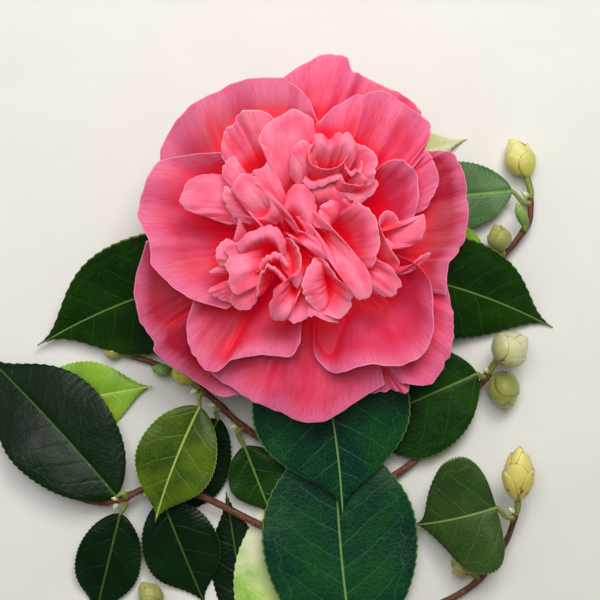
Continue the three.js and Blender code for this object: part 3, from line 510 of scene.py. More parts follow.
PETALOIDS = {
    "scoop": petal((-13.5, 21.5, 48), [
        (-26, 25.5, 54), (-26, 29, 56), (-25.2, 32.5, 57), (-24.2, 35, 58), (-21.8, 35.6, 59),
        (-21.2, 38, 60), (-19, 39.3, 63), (-15, 39.6, 63), (-10.5, 38.8, 61), (-7.5, 36, 60),
    ], hold=1.5, raised=0.1, cup=1.5, film=4),
    "fan": petal((-5.5, 15, 62), [
        (-15.5, 19.8, 64.5), (-12.3, 21.3, 65.5), (-10.8, 24, 66), (-11.2, 27, 66.5),
        (-13.6, 29.5, 66.5), (-12.7, 33, 66.5), (-8.5, 36.5, 67), (-2.5, 39, 68), (1, 38, 68),
        (3.5, 36, 66), (2, 29.5, 64),
    ], hold=2.0, raised=0.3, cup=-1),
    "fan_flap": petal((-8, 21, 60), [
        (-14.2, 29.5, 64), (-11.9, 27, 63.5), (-11.2, 24, 62.5), (-13.2, 21, 61.5), (-16.5, 19.6, 61),
    ], film=9),
    "rosette_left": petal((1.5, 20.5, 65), [
        (-3.8, 18.5, 64), (-3.8, 23, 67), (-2.5, 27.5, 69), (0.5, 29.3, 70), (3.5, 27.5, 69),
    ], cup=-1),
    "rosette_heart": petal((10, 25.5, 73), [
        (2.5, 26.5, 68), (3.5, 30.5, 70), (6, 31.5, 70.5), (8.5, 29.5, 69.5), (11, 31.5, 70.5),
        (13.5, 31.5, 71), (16.5, 29, 70), (17.5, 25.5, 68),
    ], hold=2.2),
    "rosette_right": petal((15.5, 22.5, 60), [
        (16.5, 28.5, 69), (20.5, 27, 70), (23.3, 23.5, 70), (23.3, 19, 69), (21, 15.5, 67),
        (18, 14.5, 65),
    ], hold=1.5),
    "rosette_swirl": petal((8, 27, 73.5), [
        (2.8, 26.5, 69), (0.8, 23.5, 67.5), (1.5, 20.5, 66.5), (5, 18.8, 66), (9, 18.6, 66),
        (12, 19.6, 66.5), (14, 22.5, 67.5),
    ], hold=1.8, full=0.9, nick=0.3, cup=-3),
    "rosette_lip": petal((6, 20, 65), [
        (-0.5, 17.3, 64), (2.5, 14.8, 64), (5.5, 15.2, 65), (9.5, 16.5, 66), (13, 18, 66),
    ], film=8),
    "rosette_bulb": petal((16.5, 17.5, 68), [
        (12.5, 18, 66), (14, 16, 66), (17, 15.5, 65), (20, 15, 65), (21, 17, 67), (19, 19.5, 67),
    ], hold=1.8, cup=-1),
    "rosette_point": petal((17.5, 17, 60), [
        (4, 13.3, 61), (9, 13.2, 62), (13.5, 12.8, 62), (15.5, 10.8, 62), (18, 10.3, 62), (21, 12, 61),
        (24.3, 16, 61),
    ], film=6, hold=2),
    "left_spoon": petal((-22, 12, 52), [
        (-26, 20, 54), (-31, 20, 56), (-36.5, 18, 56), (-39.5, 12.5, 55), (-38, 9, 54), (-31, 6.5, 54),
        (-23.5, 4, 53),
    ], cup=-2, hold=1.8),
    "left_small": petal((-19.5, 17, 60), [
        (-24, 16, 60), (-25.5, 20.5, 61), (-24, 23.5, 62), (-21.5, 25, 62), (-18.5, 21, 60),
    ], cup=-1),
    "boat": petal((-10.5, 8.5, 68), [
        (-14, 4, 60), (-18.5, 9, 62), (-22.5, 14.5, 63), (-21, 18, 64.5), (-17.5, 19.5, 65),
        (-11.5, 15.5, 65.5), (-6.5, 10, 64), (-6, 6, 61),
    ], hold=1.5, cup=-2, full=0.85),
    "boat_flap": petal((-17.5, 9, 57), [
        (-24.8, 16, 60), (-24.8, 11, 59), (-22.3, 7, 58), (-17, 3.8, 57),
    ], film=3),
    "centre": petal((-1.5, 5.5, 66), [
        (-6.3, 8.5, 60), (-5.3, 12.5, 62), (-1.8, 17, 63), (1, 16.5, 63), (4, 12, 62), (4.5, 8, 61),
        (1.5, 2.5, 60),
    ], hold=1.5, cup=-1.5),
    "centre_ruffled": petal((12, 5.5, 57), [
        (15, 11.5, 60), (12, 12.6, 61.5), (9, 12.3, 61), (6.8, 9.5, 62), (5.2, 7.8, 61),
        (4.5, 5.5, 61.5), (5.5, 2, 59),
    ], ruffle=0.9, waves=3, cup=-1),
    "arch": petal((-12, -3.5, 65), [
        (-21, -2.5, 59), (-17.5, 0.3, 61.5), (-12.5, 3, 63), (-8, 2.5, 63), (-5.5, -1.5, 62),
        (-5, -5, 60),
    ], hold=2, film=6),
    "low_ruffled": petal((-14.5, -8.5, 57), [
        (-20, -2, 58), (-24, -3, 59), (-23.5, -6.5, 58), (-24.5, -9, 59), (-23.5, -13, 59),
        (-23, -16.5, 58), (-20.5, -19, 57), (-16.5, -15.5, 56),
    ], ruffle=0.6, waves=4, cup=-1.5, hold=1.8),
    "low_left": petal((-21, -6, 52), [
        (-24.5, -0.5, 55), (-27, -3, 56), (-28, -6.5, 56), (-26.5, -9.5, 54),
    ], film=3),
    "low_spike": petal((-22, -11, 44), [
        (-26, -9, 52), (-30, -11.5, 53), (-28, -12.5, 51),
    ]),
    "low_tips": petal((-19.5, -15, 49), [
        (-25.5, -14.5, 51), (-30.5, -17.5, 51), (-27.5, -20, 50), (-23, -21.5, 49),
    ]),
    "low_foot": petal((-18, -16, 52), [
        (-23.5, -21, 50), (-21, -23.5, 51), (-17.5, -23.5, 52), (-14.5, -21, 53), (-15.5, -17, 55),
    ]),
    "low_tent": petal((-11, -15, 60), [
        (-15, -19, 57), (-13.8, -14, 60), (-11.5, -9, 63), (-8, -10.5, 62), (-5, -14, 60),
    ], hold=1.4, cup=-1.5, full=0.6),
    "low_behind": petal((-9.5, -9.5, 60), [
        (-14, -10, 59), (-11, -6, 62), (-7.5, -5.5, 62), (-4, -9, 60),
    ], film=3),
    "low_spoon": petal((-5, -17, 63), [
        (-1.5, -17, 59), (-4.5, -14, 61), (-8.5, -17, 60), (-10.5, -22.5, 57), (-9, -27, 54),
        (-6, -26.5, 56), (-2.5, -21.5, 58),
    ], hold=1.5, cup=-1.5),
    "low_point": petal((-18, -1.5, 46), [
        (-22, -1, 56), (-21, 2.5, 58), (-20, 5, 59), (-18.5, 2, 57),
    ]),
    "foot_left_wall": petal((7.5, -16, 54), [
        (4.5, -7, 61), (1, -11.5, 62), (0, -17, 61), (2, -21, 59), (5, -24.5, 57),
    ], hold=1.8, cup=-2),
    "foot_right_wall": petal((8, -15, 48), [
        (5, -7, 62), (8, -8.8, 63), (10.5, -12, 63), (13.5, -16, 63), (16, -19.5, 62), (15.5, -22.5, 60),
        (12, -26.5, 57), (7.5, -25, 56),
    ], hold=1.5, cup=1, film=7),
    "foot_rim": petal((2, -19.5, 52), [
        (-6, -26, 53), (-3, -28, 54), (0.5, -27, 55), (3, -25.5, 57), (6.5, -27, 56), (12, -28, 54),
    ], ruffle=0.4, film=5),
    "blade_short": petal((-2.5, 0.8, 62), [
        (-3.5, -1, 60), (0, -2.8, 61), (4.5, -6.3, 62), (8.5, -7.2, 63), (9.3, -5.8, 63),
        (7.5, -3.2, 63.5), (4, -0.6, 63), (0, 0.8, 62),
    ], hold=1.5, full=0.3, cup=-1, nick=0.2),
    "blade_long": petal((5.5, 0.5, 63.5), [
        (1, 1.5, 61), (8, -3.5, 63), (12, -11, 64), (14.5, -16.5, 64), (18.5, -20.8, 64),
        (21.8, -18.5, 65), (21.3, -12.5, 66), (16, -5.5, 66), (8.5, 1.5, 64), (3.5, 3, 62),
    ], hold=1.3, cup=-1.5, film=3),
    "right_wing": petal((15, -1, 48), [
        (14.5, 10.5, 60), (17.5, 10.5, 62), (21, 9, 62), (24, 4, 61), (24.5, -1.5, 60), (24, -6.5, 59),
        (23, -10, 57),
    ], hold=1.4, cup=1, film=7, dusk=0.45),
    "right_loop": petal((26.5, -0.5, 44), [
        (30.5, -12.5, 49), (31.5, -8.5, 51), (28.5, -3.5, 53), (26, 2, 54), (25, 6.5, 55),
        (27.5, 8.5, 55), (30.5, 6.5, 54), (32, 3.5, 52),
    ]),
    "right_boat": petal((31, 0.5, 50), [
        (28, 2.5, 52), (32, 3.5, 53), (36, 5, 54), (39, 7.5, 53), (40, 2.5, 52), (38.5, -1, 51),
        (35, -3, 50), (31, -3.5, 50), (27.5, -0.5, 51),
    ], cup=1),
    "right_shell": petal((21, -10, 52), [
        (23.5, -9, 55), (27.5, -9, 56), (31.5, -14.5, 54), (31.5, -17, 53), (29, -19.5, 52),
        (25.5, -19, 51), (23, -18, 50),
    ], film=4),
    "right_flick": petal((33.5, -12.5, 44), [
        (36.5, -8, 50), (39, -6, 51), (42, -5, 50), (39.5, -8.5, 49),
    ]),
    "sliver": petal((-16.5, 2.5, 46), [
        (-23, 6, 55), (-19.5, 7, 57), (-16, 6, 57), (-13.5, 4, 56),
    ]),
    "edge": petal((-8, -9.5, 46), [
        (-4.8, -0.5, 60), (-1.8, -2.5, 61), (-0.6, -6.5, 61), (-0.2, -13, 59), (-1, -16, 57),
    ], hold=1.0, raised=0, dusk=0.3),
    "rosette_fold": petal((16, 22, 66), [
        (13.3, 22.3, 69), (13.5, 20, 69.5), (15, 18.8, 69), (17, 18.6, 69), (18.6, 19.8, 69),
        (19, 22.5, 69),
    ], ruffle=0.5),
    "centre_back": petal((7, 9.5, 60), [
        (-0.5, 14.5, 60), (3, 16.5, 62), (8, 16.5, 62.5), (13, 15, 62), (16, 12, 60),
    ], hold=2),
    "boat_nose": petal((-14.5, 10, 70), [
        (-15.5, 4.6, 59), (-10.5, 3.3, 60), (-6.8, 4.5, 61), (-5.6, 7.5, 62.5), (-7, 11, 64),
        (-11.5, 15.5, 65.5),
    ], hold=1.5, full=0.9, nick=0.2),
    "hollow_low": petal((0, -2, 50), [
        (-8, -4, 52), (-6.5, -10, 54), (-3, -15, 54), (1, -18, 53), (5, -15, 54), (6, -8, 55),
    ], hold=1.6),
}

print("petals in the bloom:", len(GUARDS) + len(PETALOIDS))

# %% The petals' rule
RECEPTACLE_AT = np.array([0.0, 0.0, 32.8])
ROOT_RING = 4.0
ROOT_WIDTH = 5.0
PETAL_START = 0.15
LIP_START = 0.7


def unit(vectors):
    """The same directions, one long."""
    vectors = np.asarray(vectors, float)
    return vectors / np.maximum(np.linalg.norm(vectors, axis=-1, keepdims=True), 1e-12)


def smooth_line(points, share):
    """Places on the smooth line through the points, at shares of it from 0 to 1."""
    points = np.asarray(points, float)
    knots = np.vstack([2 * points[0] - points[1], points, 2 * points[-1] - points[-2]])
    place = np.clip(share, 0, 1) * (len(points) - 1)
    start = np.minimum(place.astype(int), len(points) - 2)
    w = (place - start)[:, None]
    p0, p1, p2, p3 = (knots[start + step] for step in range(4))
    d0, d1, d2 = (
        np.sqrt(np.linalg.norm(b - a, axis=1))[:, None] for a, b in ((p0, p1), (p1, p2), (p2, p3))
    )
    leave = ((p1 - p0) / d0 - (p2 - p0) / (d0 + d1) + (p2 - p1) / d1) * d1
    arrive = ((p2 - p1) / d1 - (p3 - p1) / (d1 + d2) + (p3 - p2) / d2) * d1
    second = -3 * p1 + 3 * p2 - 2 * leave - arrive
    third = 2 * p1 - 2 * p2 + leave + arrive
    return p1 + leave * w + second * w**2 + third * w**3


def run_of(line):
    """The length of a line through points."""
    return np.linalg.norm(np.diff(line, axis=0), axis=1).sum()


def smoothstep(value, low, high):
    """Goes smoothly from 0 at low to 1 at high."""
    share = np.clip((value - low) / (high - low), 0, 1)
    return share * share * (3 - 2 * share)


def waves(rng, places, pitches, falling=0.8):
    """A smooth wandering line of about one unit, made of a few sine waves."""
    total = np.zeros_like(places)
    for order, pitch in enumerate(pitches):
        total += falling**order * np.sin(2 * np.pi * (pitch * places + rng.uniform()))
    return total / math.sqrt(len(pitches))


print("the foot of a petal stands", ROOT_RING, "mm from the axis")

# %% [markdown]
# Real petals aren't as even as the rule: their rims are nicked and waved, fine pleats
# run down them, and the blade thins from its foot to its rim. These come from a few
# sine waves with a fixed seed for each petal. Cutting the rim back a little in places
# is what makes the notches; lifting it along the face is what makes the waves.

# %% A petal's fine shape
GRIDS = {"guard": {"across": 84, "along": 54}, "petaloid": {"across": 56, "along": 40}}
# Defaults for each kind of petal; the darker tint's share among them is painted shade.
RIMS = {
    "guard": {
        "wave": 0.9, "nick": 1.1, "curl": 0.6, "pleat": 0.12, "crown": 1.0, "full": 0.55, "raised": 0.0,
        "hold": 1.15, "film": 9.0, "dusk": 0.3,
    },
    "petaloid": {
        "wave": 0.6, "nick": 0.75, "curl": 0.35, "pleat": 0.09, "crown": 1.4, "full": 0.75, "raised": 0.6,
        "hold": 2.2, "film": 1.8, "dusk": 0.0,
    },
}
WAVE_PITCHES = (1.7, 2.9, 4.6, 7.3)
PLEAT_PITCHES = (13.0, 19.0, 29.0)
FOOT_THICKNESS = 0.75
RIM_THICKNESS = 0.26
EDGE_THICKNESS = 0.1
EDGE_ROUND = 0.35
ROW_CROWDING = 1.3
CROWN_PEAK = 0.8**4 * 0.2
WAVY_FROM = 26.0
PETAL_SEED = 1000
NICK = {"from": 0.3, "to": 0.7, "narrow": 0.02, "wide": 0.05, "least": 0.4, "most": 1.2}
SMALL_NICKS = {"share": 0.28, "pitches": (5.3, 8.9, 14.0)}
CREASE = {"from": 0.3, "full": 0.6, "fades": 0.85, "deepest": 2.4}
WAVE_GROWS = 3.5
CROWN_ENDS = 0.6
ATLAS = {"margin": 0.01, "wide": 0.47, "high": 0.92, "wall": 0.98}
ATLAS_WALL_ROWS = (0.955, 0.985, 0.985, 0.955)
CURL = {"from": 0.8, "to": 1.05, "back": -1.0, "forward": 0.3}


def petal_sheet(spec, number, grid, rim_shape):
    """The middle of a petal's blade, how far each row is from its foot, and how deep its creases are, for
    their painted shade.
    """
    rng = np.random.default_rng(PETAL_SEED + number)
    u = np.linspace(0, 1, grid["across"])
    w = 1 - (1 - np.linspace(0, 1, grid["along"])) ** ROW_CROWDING
    hold = spec.get("hold", rim_shape["hold"])
    start = PETAL_START / hold
    v = (start + (1 - start) * w)[:, None]
    rim = np.array(spec["rim"], float)
    throat = np.array(spec["throat"], float)
    throat[2] += spec.get("raised", rim_shape["raised"]) * max(rim[:, 2].mean() - throat[2], 0.0)
    outward = unit([throat[0], throat[1], 0])
    foot = RECEPTACLE_AT + ROOT_RING * outward
    free = smooth_line(rim, u)
    middle = smooth_line(rim, np.array([0.5]))[0]
    span = free[-1] - free[0]
    sideways = unit([span[0], span[1], 0])
    face = unit(np.cross(span, middle - foot))
    face = face if face[2] >= 0 else -face

    ends = np.sin(np.pi * u) ** 0.5
    size = min(1.0, run_of(free) / WAVY_FROM)
    nick_at = rng.uniform(NICK["from"], NICK["to"])
    nick = np.exp(-(((u - nick_at) / rng.uniform(NICK["narrow"], NICK["wide"])) ** 2))
    nick = nick * rng.uniform(NICK["least"], NICK["most"])
    nicks = nick + SMALL_NICKS["share"] * waves(rng, u, SMALL_NICKS["pitches"])
    cut_back = spec.get("nick", rim_shape["nick"]) * size * nicks
    free = free - unit(free - throat) * (cut_back * ends)[:, None]

    root = foot + sideways * ((u - 0.5) * ROOT_WIDTH)[:, None]
    pull = throat + spec.get("full", rim_shape["full"]) * (free - middle)
    to_root, to_pull, to_free = (1 - v) ** 2, 2 * hold * v * (1 - v), v**2
    sheet = (
        to_root[:, :, None] * root + to_pull[:, :, None] * pull + to_free[:, :, None] * free
    ) / (to_root + to_pull + to_free)[:, :, None]
    lift = -spec.get("cup", 0) * 4 * u * (1 - u) * np.sin(np.pi * v)
    lift = lift + spec.get("ruffle", 0) * np.sin(2 * np.pi * spec.get("waves", 3) * u) * v**2
    lift = lift + size * rim_shape["wave"] * waves(rng, u, WAVE_PITCHES) * v**WAVE_GROWS
    lift = lift + rim_shape["pleat"] * waves(rng, u, PLEAT_PITCHES) * np.sin(np.pi * v)
    groove = np.zeros((grid["along"], grid["across"]))
    for near_foot, near_rim, width, deep in spec.get("creases", ()):
        off = u - near_foot - (near_rim - near_foot) * v
        fade = smoothstep(v, CREASE["from"], CREASE["full"]) * (1 - smoothstep(v, CREASE["fades"], 1))
        groove += deep * np.exp(-((off / width) ** 2)) * fade
    lift = lift - groove
    curl = rim_shape["curl"] * rng.uniform(CURL["back"], CURL["forward"])
    lift = lift + curl * smoothstep(v, CURL["from"], CURL["to"]) ** 2
    sheet = sheet + lift[:, :, None] * face
    lip = spec.get("lip", 0) * v * (1 - smoothstep(v, LIP_START, 1))
    crown = v**4 * (1 - v) / CROWN_PEAK * np.sin(np.pi * u) ** CROWN_ENDS
    sheet[:, :, 2] += spec.get("crown", rim_shape["crown"]) * crown - lip
    # How deep each crease is, as a share, for the painted shade in creases.
    return sheet, v, np.clip(groove / CREASE["deepest"], 0, 1)


def lengths(sheet, axis):
    """How far each point lies along the grid's rows or columns, in millimetres."""
    steps = np.linalg.norm(np.diff(sheet, axis=axis), axis=-1)
    start = np.zeros_like(np.take(steps, [0], axis=axis))
    return np.concatenate([start, np.cumsum(steps, axis=axis)], axis=axis)


def shell(name, sheet, thickness):
    """A closed mesh from a sheet: its two faces and the narrow wall round its edge."""
    rows, columns = sheet.shape[:2]
    count = rows * columns
    normal = unit(np.cross(np.gradient(sheet, axis=1), np.gradient(sheet, axis=0)))
    half = normal * thickness[:, :, None] / 2
    points = metres(np.concatenate([(sheet + half).reshape(-1, 3), (sheet - half).reshape(-1, 3)]))
    grid = np.arange(count).reshape(rows, columns)
    quads = np.stack([grid[:-1, :-1], grid[:-1, 1:], grid[1:, 1:], grid[1:, :-1]], axis=-1)
    quads = quads.reshape(-1, 4)
    border = np.concatenate([grid[0], grid[1:, -1], grid[-1, -2::-1], grid[-2:0:-1, 0]])
    following = np.roll(border, -1)
    wall = np.stack([border, border + count, following + count, following], axis=-1)
    faces = np.concatenate([quads, quads[:, ::-1] + count, wall])

    mesh = bpy.data.meshes.new(name)
    mesh.vertices.add(len(points))
    mesh.vertices.foreach_set("co", points.ravel())
    mesh.loops.add(faces.size)
    mesh.loops.foreach_set("vertex_index", faces.ravel().astype(np.int32))
    mesh.polygons.add(len(faces))
    mesh.polygons.foreach_set("loop_start", np.arange(0, faces.size, 4, dtype=np.int32))
    mesh.update(calc_edges=True)
    mesh.polygons.foreach_set("use_smooth", np.ones(len(faces), bool))
    unfold(mesh, rows, columns, faces, len(quads))
    return mesh


def unfold(mesh, rows, columns, faces, front_count):
    """Lays the front, the back and the wall side by side, for programs that bake the finish."""
    count = rows * columns
    row, column = np.divmod(faces % count, columns)
    across = ATLAS["margin"] + ATLAS["wide"] * column / (columns - 1)
    flat = np.stack([across, ATLAS["margin"] + ATLAS["high"] * row / (rows - 1)], axis=-1)
    flat[front_count : 2 * front_count, :, 0] += 0.5
    wall_count = len(faces) - 2 * front_count
    step = np.arange(wall_count)[:, None] + np.array([0, 0, 1, 1])
    flat[2 * front_count :, :, 0] = ATLAS["margin"] + ATLAS["wall"] * step / wall_count
    flat[2 * front_count :, :, 1] = np.array(ATLAS_WALL_ROWS)
    layer = mesh.uv_layers.new(name="OFBake")
    layer.data.foreach_set("uv", flat.reshape(-1).astype(np.float32))


def carry(mesh, name, front, back):
    """Gives each point of both faces of a shell a triple that materials can read."""
    layer = mesh.attributes.new(name, "FLOAT_VECTOR", "POINT")
    both = np.concatenate([front.reshape(-1, 3), back.reshape(-1, 3)])
    layer.data.foreach_set("vector", both.astype(np.float32).ravel())


print("guards have", GRIDS["guard"]["across"] * GRIDS["guard"]["along"], "points on each face")

# %% [markdown]
# Petals are satin: the colour sits in the cells, so light goes in, glows and comes out
# redder. They are deep red at the foot, rose in the blade and thinly lilac at the rim,
# where the pale film is partly their own paler edge and partly painted sheen, with fine
# dark hairlines that fan out from the foot. The blade's own grid gives millimetres across
# and along, so the lines follow each petal however it bends. Petals that lie in shade get
# a darker tint, which is painted shade, and in hollows a painted red shade and a faint
# painted red glow stand for the light that has come through other petals.

# %% The petals' finish
# The emission paints a faint red glow into the hollows; no petal is a lamp.
PETAL_SHADER = {
    "Roughness": 0.46,
    "Subsurface Weight": 0.3,
    "Subsurface Radius": (1.0, 0.05, 0.08),
    "Subsurface Scale": 0.0005,
    "Sheen Weight": 0.03,
    "Sheen Roughness": 0.4,
    "Specular IOR Level": 0.25,
    "Emission Strength": 0.12,
}
STREAKS = (0.9, 0.08, 3.1)
HAIRS = (2.3, 0.24, 5.3)
CLOUDS = (0.09, 0.09, 1.0)
FILM_STRAY = {"cloud": 6.0, "streak": 4.0}
FOOT_STRAY = 0.2
RIM_LINE = (0.15, 0.6)
HAIRLINE = 0.04
PETAL_RELIEF = {"streak": 0.6, "hair": 0.35, "vein": 0.2}
# How strongly the painted red shade of the hollows shows, and how much it dims the pale rim and its line.
SHOWS = {"film": 0.6, "vein": 0.08, "hollow": 0.92, "line": 0.65, "dimmed": 0.5}
# The colour of the painted glow in the hollows; the petals are no lamps.
GLOW = (255, 16, 58)
PETAL_TINTS = {
    "guard": {
        "foot": (222, 4, 40), "blade": (228, 58, 96), "light": (238, 88, 130), "film": (230, 128, 174),
        "dusk": (170, 16, 50), "line": (244, 160, 192), "deep": (0.28, 0.78), "dash": 0.42,
    },
    "petaloid": {
        "foot": (236, 4, 32), "blade": (252, 86, 120), "light": (255, 138, 168), "film": (244, 142, 176),
        "dusk": (196, 20, 44), "line": (255, 172, 194), "deep": (0.3, 0.62), "dash": 0.24,
    },
}


def petal_finish(name, tints):
    """Satin petal: red at the foot, veined rose in the blade and a thin pale rim, with painted shade and a
    painted red glow.
    """
    material, tree, shader = new_finish(name, PETAL_SHADER)
    blade = tree.parts(tree.attribute("blade"))
    _, reach, edge = tree.parts(tree.attribute("share"))
    film_width, dusk, depth = tree.parts(tree.attribute("mood"))
    tint = {key: colour(*tints[key]) for key in ("foot", "blade", "light", "film", "dusk", "line")}
    streak = tree.noise(tree.stretch(blade, STREAKS), detail=3.0, roughness=0.55)
    hair = tree.noise(tree.stretch(blade, HAIRS), roughness=0.6)
    cloud = tree.noise(tree.stretch(blade, CLOUDS))
    dash = tree.rise(hair, 0.5, 0.68) * tints["dash"]
    vein = tree.fall(abs(streak - 0.5), 0.0, HAIRLINE)
    # The pale lilac rim film: partly the petal's own paler edge, partly painted sheen.
    stray = (cloud - 0.5) * FILM_STRAY["cloud"] + (streak - 0.5) * FILM_STRAY["streak"]
    film = tree.fall(edge + stray, 0.0, film_width)
    foot = tree.fall(reach + (streak - 0.5) * FOOT_STRAY, *tints["deep"])
    line = tree.fall(edge, *RIM_LINE)
    # Over the blade go, in turn: the darker tint, painted shade for a petal in shade; the pale rim film,
    # partly own colour and partly painted sheen, dimmed by the painted hollow shade; the hairlines; the
    # red foot; the painted red shade of the hollows; and the thin pale rim line, dimmed there too.
    body = tree.coats(
        tree.blend(tree.rise(cloud, 0.3, 0.7), tint["blade"], tint["light"]),
        (dusk, tint["dusk"]),
        (film * (SHOWS["film"] - depth * SHOWS["dimmed"]), tint["film"]),
        (dash + vein * SHOWS["vein"], tint["foot"]),
        (foot, tint["foot"]),
        (depth * SHOWS["hollow"], tint["foot"]),
        (line * (SHOWS["line"] - depth * SHOWS["dimmed"]), tint["line"]),
    )
    raised = streak * PETAL_RELIEF["streak"] + hair * PETAL_RELIEF["hair"]
    paint(tree, shader, body, raised - vein * PETAL_RELIEF["vein"])
    # A faint painted red glow, strongest where a place lies deepest.
    glow = tree.blend(depth, colour(0, 0, 0), colour(*GLOW))
    tree.fill(shader.inputs["Emission Color"], glow)
    return material


PETAL_FINISHES = {name: petal_finish("petal_" + name, tints) for name, tints in PETAL_TINTS.items()}
print("petal finishes:", list(PETAL_FINISHES))

# %% [markdown]
# Light that reaches the hollows between the petals has passed through petals or bounced
# off them, so hollows look a purer red. Here that red is painted shade: it is laid into
# the colour, with a faint painted glow. A shader can't know how deep a place lies, so the
# depth below the neighbouring petals' tops is worked out here and carried by the mesh.
# Steep walls and creases count as deep too, so they get the painted shade as well, and an
# underside counts as less deep.

# %% How deep each place lies in the bloom, for the painted hollow shade
CELL = 1.0
CANOPY_SIDE = 140
CANOPY_BLUR = 4.5
# Places below the canopy, steep walls and creases get the painted red shade; undersides get less.
HOLLOW = {"from": 1.5, "to": 9.0}
STEEP = (0.25, 0.95)
STEEP_SHARE = 0.75
UNDERSIDE = 0.85
SHEETS = {}
for kind, petals in (("guard", GUARDS), ("petaloid", PETALOIDS)):
    for name, spec in petals.items():
        number = len(SHEETS)
        SHEETS[name] = (*petal_sheet(spec, number, GRIDS[kind], RIMS[kind]), number, kind, spec)


def cells_of(points):
    """The canopy's cells that the points lie over."""
    return np.clip(np.rint(points[..., :2] / CELL + CANOPY_SIDE / 2).astype(int), 0, CANOPY_SIDE - 1)


def blurred(grid):
    """The grid, smoothed evenly in all directions."""
    reach = np.arange(-3 * CANOPY_BLUR, 3 * CANOPY_BLUR + 1)
    weights = np.exp(-((reach / CANOPY_BLUR) ** 2) / 2)
    for axis in (0, 1):
        grid = np.apply_along_axis(np.convolve, axis, grid, weights / weights.sum(), "same")
    return grid


everything = np.concatenate([sheet.reshape(-1, 3) for sheet, *_ in SHEETS.values()])
top = np.zeros((CANOPY_SIDE, CANOPY_SIDE))
across, along = cells_of(everything).T
np.maximum.at(top, (across, along), everything[:, 2])
CANOPY = blurred(top) / np.maximum(blurred((top > 0).astype(float)), 1e-6)


def depths_at(points, crease):
    """How much painted hollow shade a place gets: 0 level with the neighbouring petals' tops, 1 deep in a
    hollow or on a wall, less underneath.
    """
    across, along = np.moveaxis(cells_of(points), -1, 0)
    deep = smoothstep(CANOPY[across, along] - points[..., 2], HOLLOW["from"], HOLLOW["to"])
    normal = unit(np.cross(np.gradient(points, axis=1), np.gradient(points, axis=0)))
    steep = smoothstep(1 - abs(normal[..., 2]), *STEEP)
    depth = 1 - (1 - deep) * (1 - STEEP_SHARE * steep) * (1 - crease)
    return [depth * (1 - UNDERSIDE * smoothstep(face * normal[..., 2], 0.0, 0.5)) for face in (-1, 1)]


print("the canopy's highest cell stands at", round(float(top.max()), 1), "mm")

# %% The petals
def make_petal(name, sheet, v, crease, number, kind, spec):
    """One petal of the bloom, as a closed shell with its veins' grid."""
    across = lengths(sheet, axis=1)
    along = lengths(sheet, axis=0)
    from_sides = np.minimum(across, across[:, -1:] - across)
    edge = np.minimum(from_sides, along[-1:] - along)
    thickness = FOOT_THICKNESS + (RIM_THICKNESS - FOOT_THICKNESS) * v
    rounding = np.sqrt(np.clip(edge / EDGE_ROUND, 0, 1))
    thickness = EDGE_THICKNESS + (thickness - EDGE_THICKNESS) * rounding
    mesh = shell("petal_" + name, sheet, thickness)
    u = np.linspace(-1, 1, sheet.shape[1])[None, :]
    rim_length = across[-1, -1]
    flat = np.broadcast_to(u * rim_length / 2, edge.shape)
    blade = np.stack([flat, along, np.full(edge.shape, float(number))], axis=-1)
    share = np.stack([*np.broadcast_arrays(u, v), edge], axis=-1)
    # The mood carries the pale rim's width, the darker tint's share and, face by face, the painted hollow
    # shade.
    mood = [spec.get(key, RIMS[kind][key]) for key in ("film", "dusk")]
    moods = [np.stack(np.broadcast_arrays(*mood, depth), axis=-1) for depth in depths_at(sheet, crease)]
    carry(mesh, "blade", blade, blade)
    carry(mesh, "share", share, share)
    carry(mesh, "mood", *moods)
    return show(mesh, PETAL_FINISHES[kind], "bloom")


made = [make_petal(name, *petal_data) for name, petal_data in SHEETS.items()]
print("petals made:", len(made), "with", sum(len(p.data.polygons) for p in made), "faces")

# %% [markdown]
# Under the petals' feet sits the receptacle, a low rounded cushion. Rings of points on
# a squashed ball make it, closed by a point at either pole, and glimpses of it between
# the petals are as red as their feet.

# %% The bloom's heart
HEART = {"radius": 12.0, "height": 6.0, "rings": 24, "spokes": 48, "grain": 900.0}
HEART_TINTS = ((196, 20, 36), (226, 40, 58))
KNOBS = {"count": 9, "rise": 0.04}


def make_heart():
    """The rounded receptacle under the petals' feet, with low knobs round it."""
    rings, spokes = HEART["rings"], HEART["spokes"]
    polar = np.linspace(0, np.pi, rings + 1)[1:-1, None]
    turn = np.linspace(0, 2 * np.pi, spokes, endpoint=False)[None, :]
    knob = 1 + KNOBS["rise"] * np.sin(KNOBS["count"] * turn) * np.sin(polar) ** 2
    width = HEART["radius"] * knob * np.sin(polar)
    height = HEART["height"] * np.cos(polar) * np.ones_like(turn)
    ring = np.stack([width * np.cos(turn), width * np.sin(turn), height], axis=-1).reshape(-1, 3)
    poles = [[0, 0, HEART["height"]], [0, 0, -HEART["height"]]]
    points = RECEPTACLE_AT + np.vstack([ring, poles])
    top, bottom = len(ring), len(ring) + 1
    faces = []
    for spoke in range(spokes):
        after = (spoke + 1) % spokes
        faces.append((top, spoke, after))
        last = (rings - 2) * spokes
        faces.append((bottom, last + after, last + spoke))
        for row in range(rings - 2):
            here, below = row * spokes, (row + 1) * spokes
            faces.append((here + spoke, below + spoke, below + after, here + after))
    material, tree, shader = new_finish("heart_red", {"Roughness": 0.6})
    grain = tree.noise(tree.place(), HEART["grain"], detail=3.0)
    paint(tree, shader, tree.blend(grain, *(colour(*tint) for tint in HEART_TINTS)))
    return solid("bloom_heart", points, faces, material, "bloom")


print("made", make_heart().name)

# %% [markdown]
# A peony-form camellia has turned most of its stamens into petals, but small tufts are
# left between them and show as golden glints. Each stamen is a thin filament with a
# grain-shaped anther, so a tree runs a fine tube along each path and sets one anther
# on each tip.

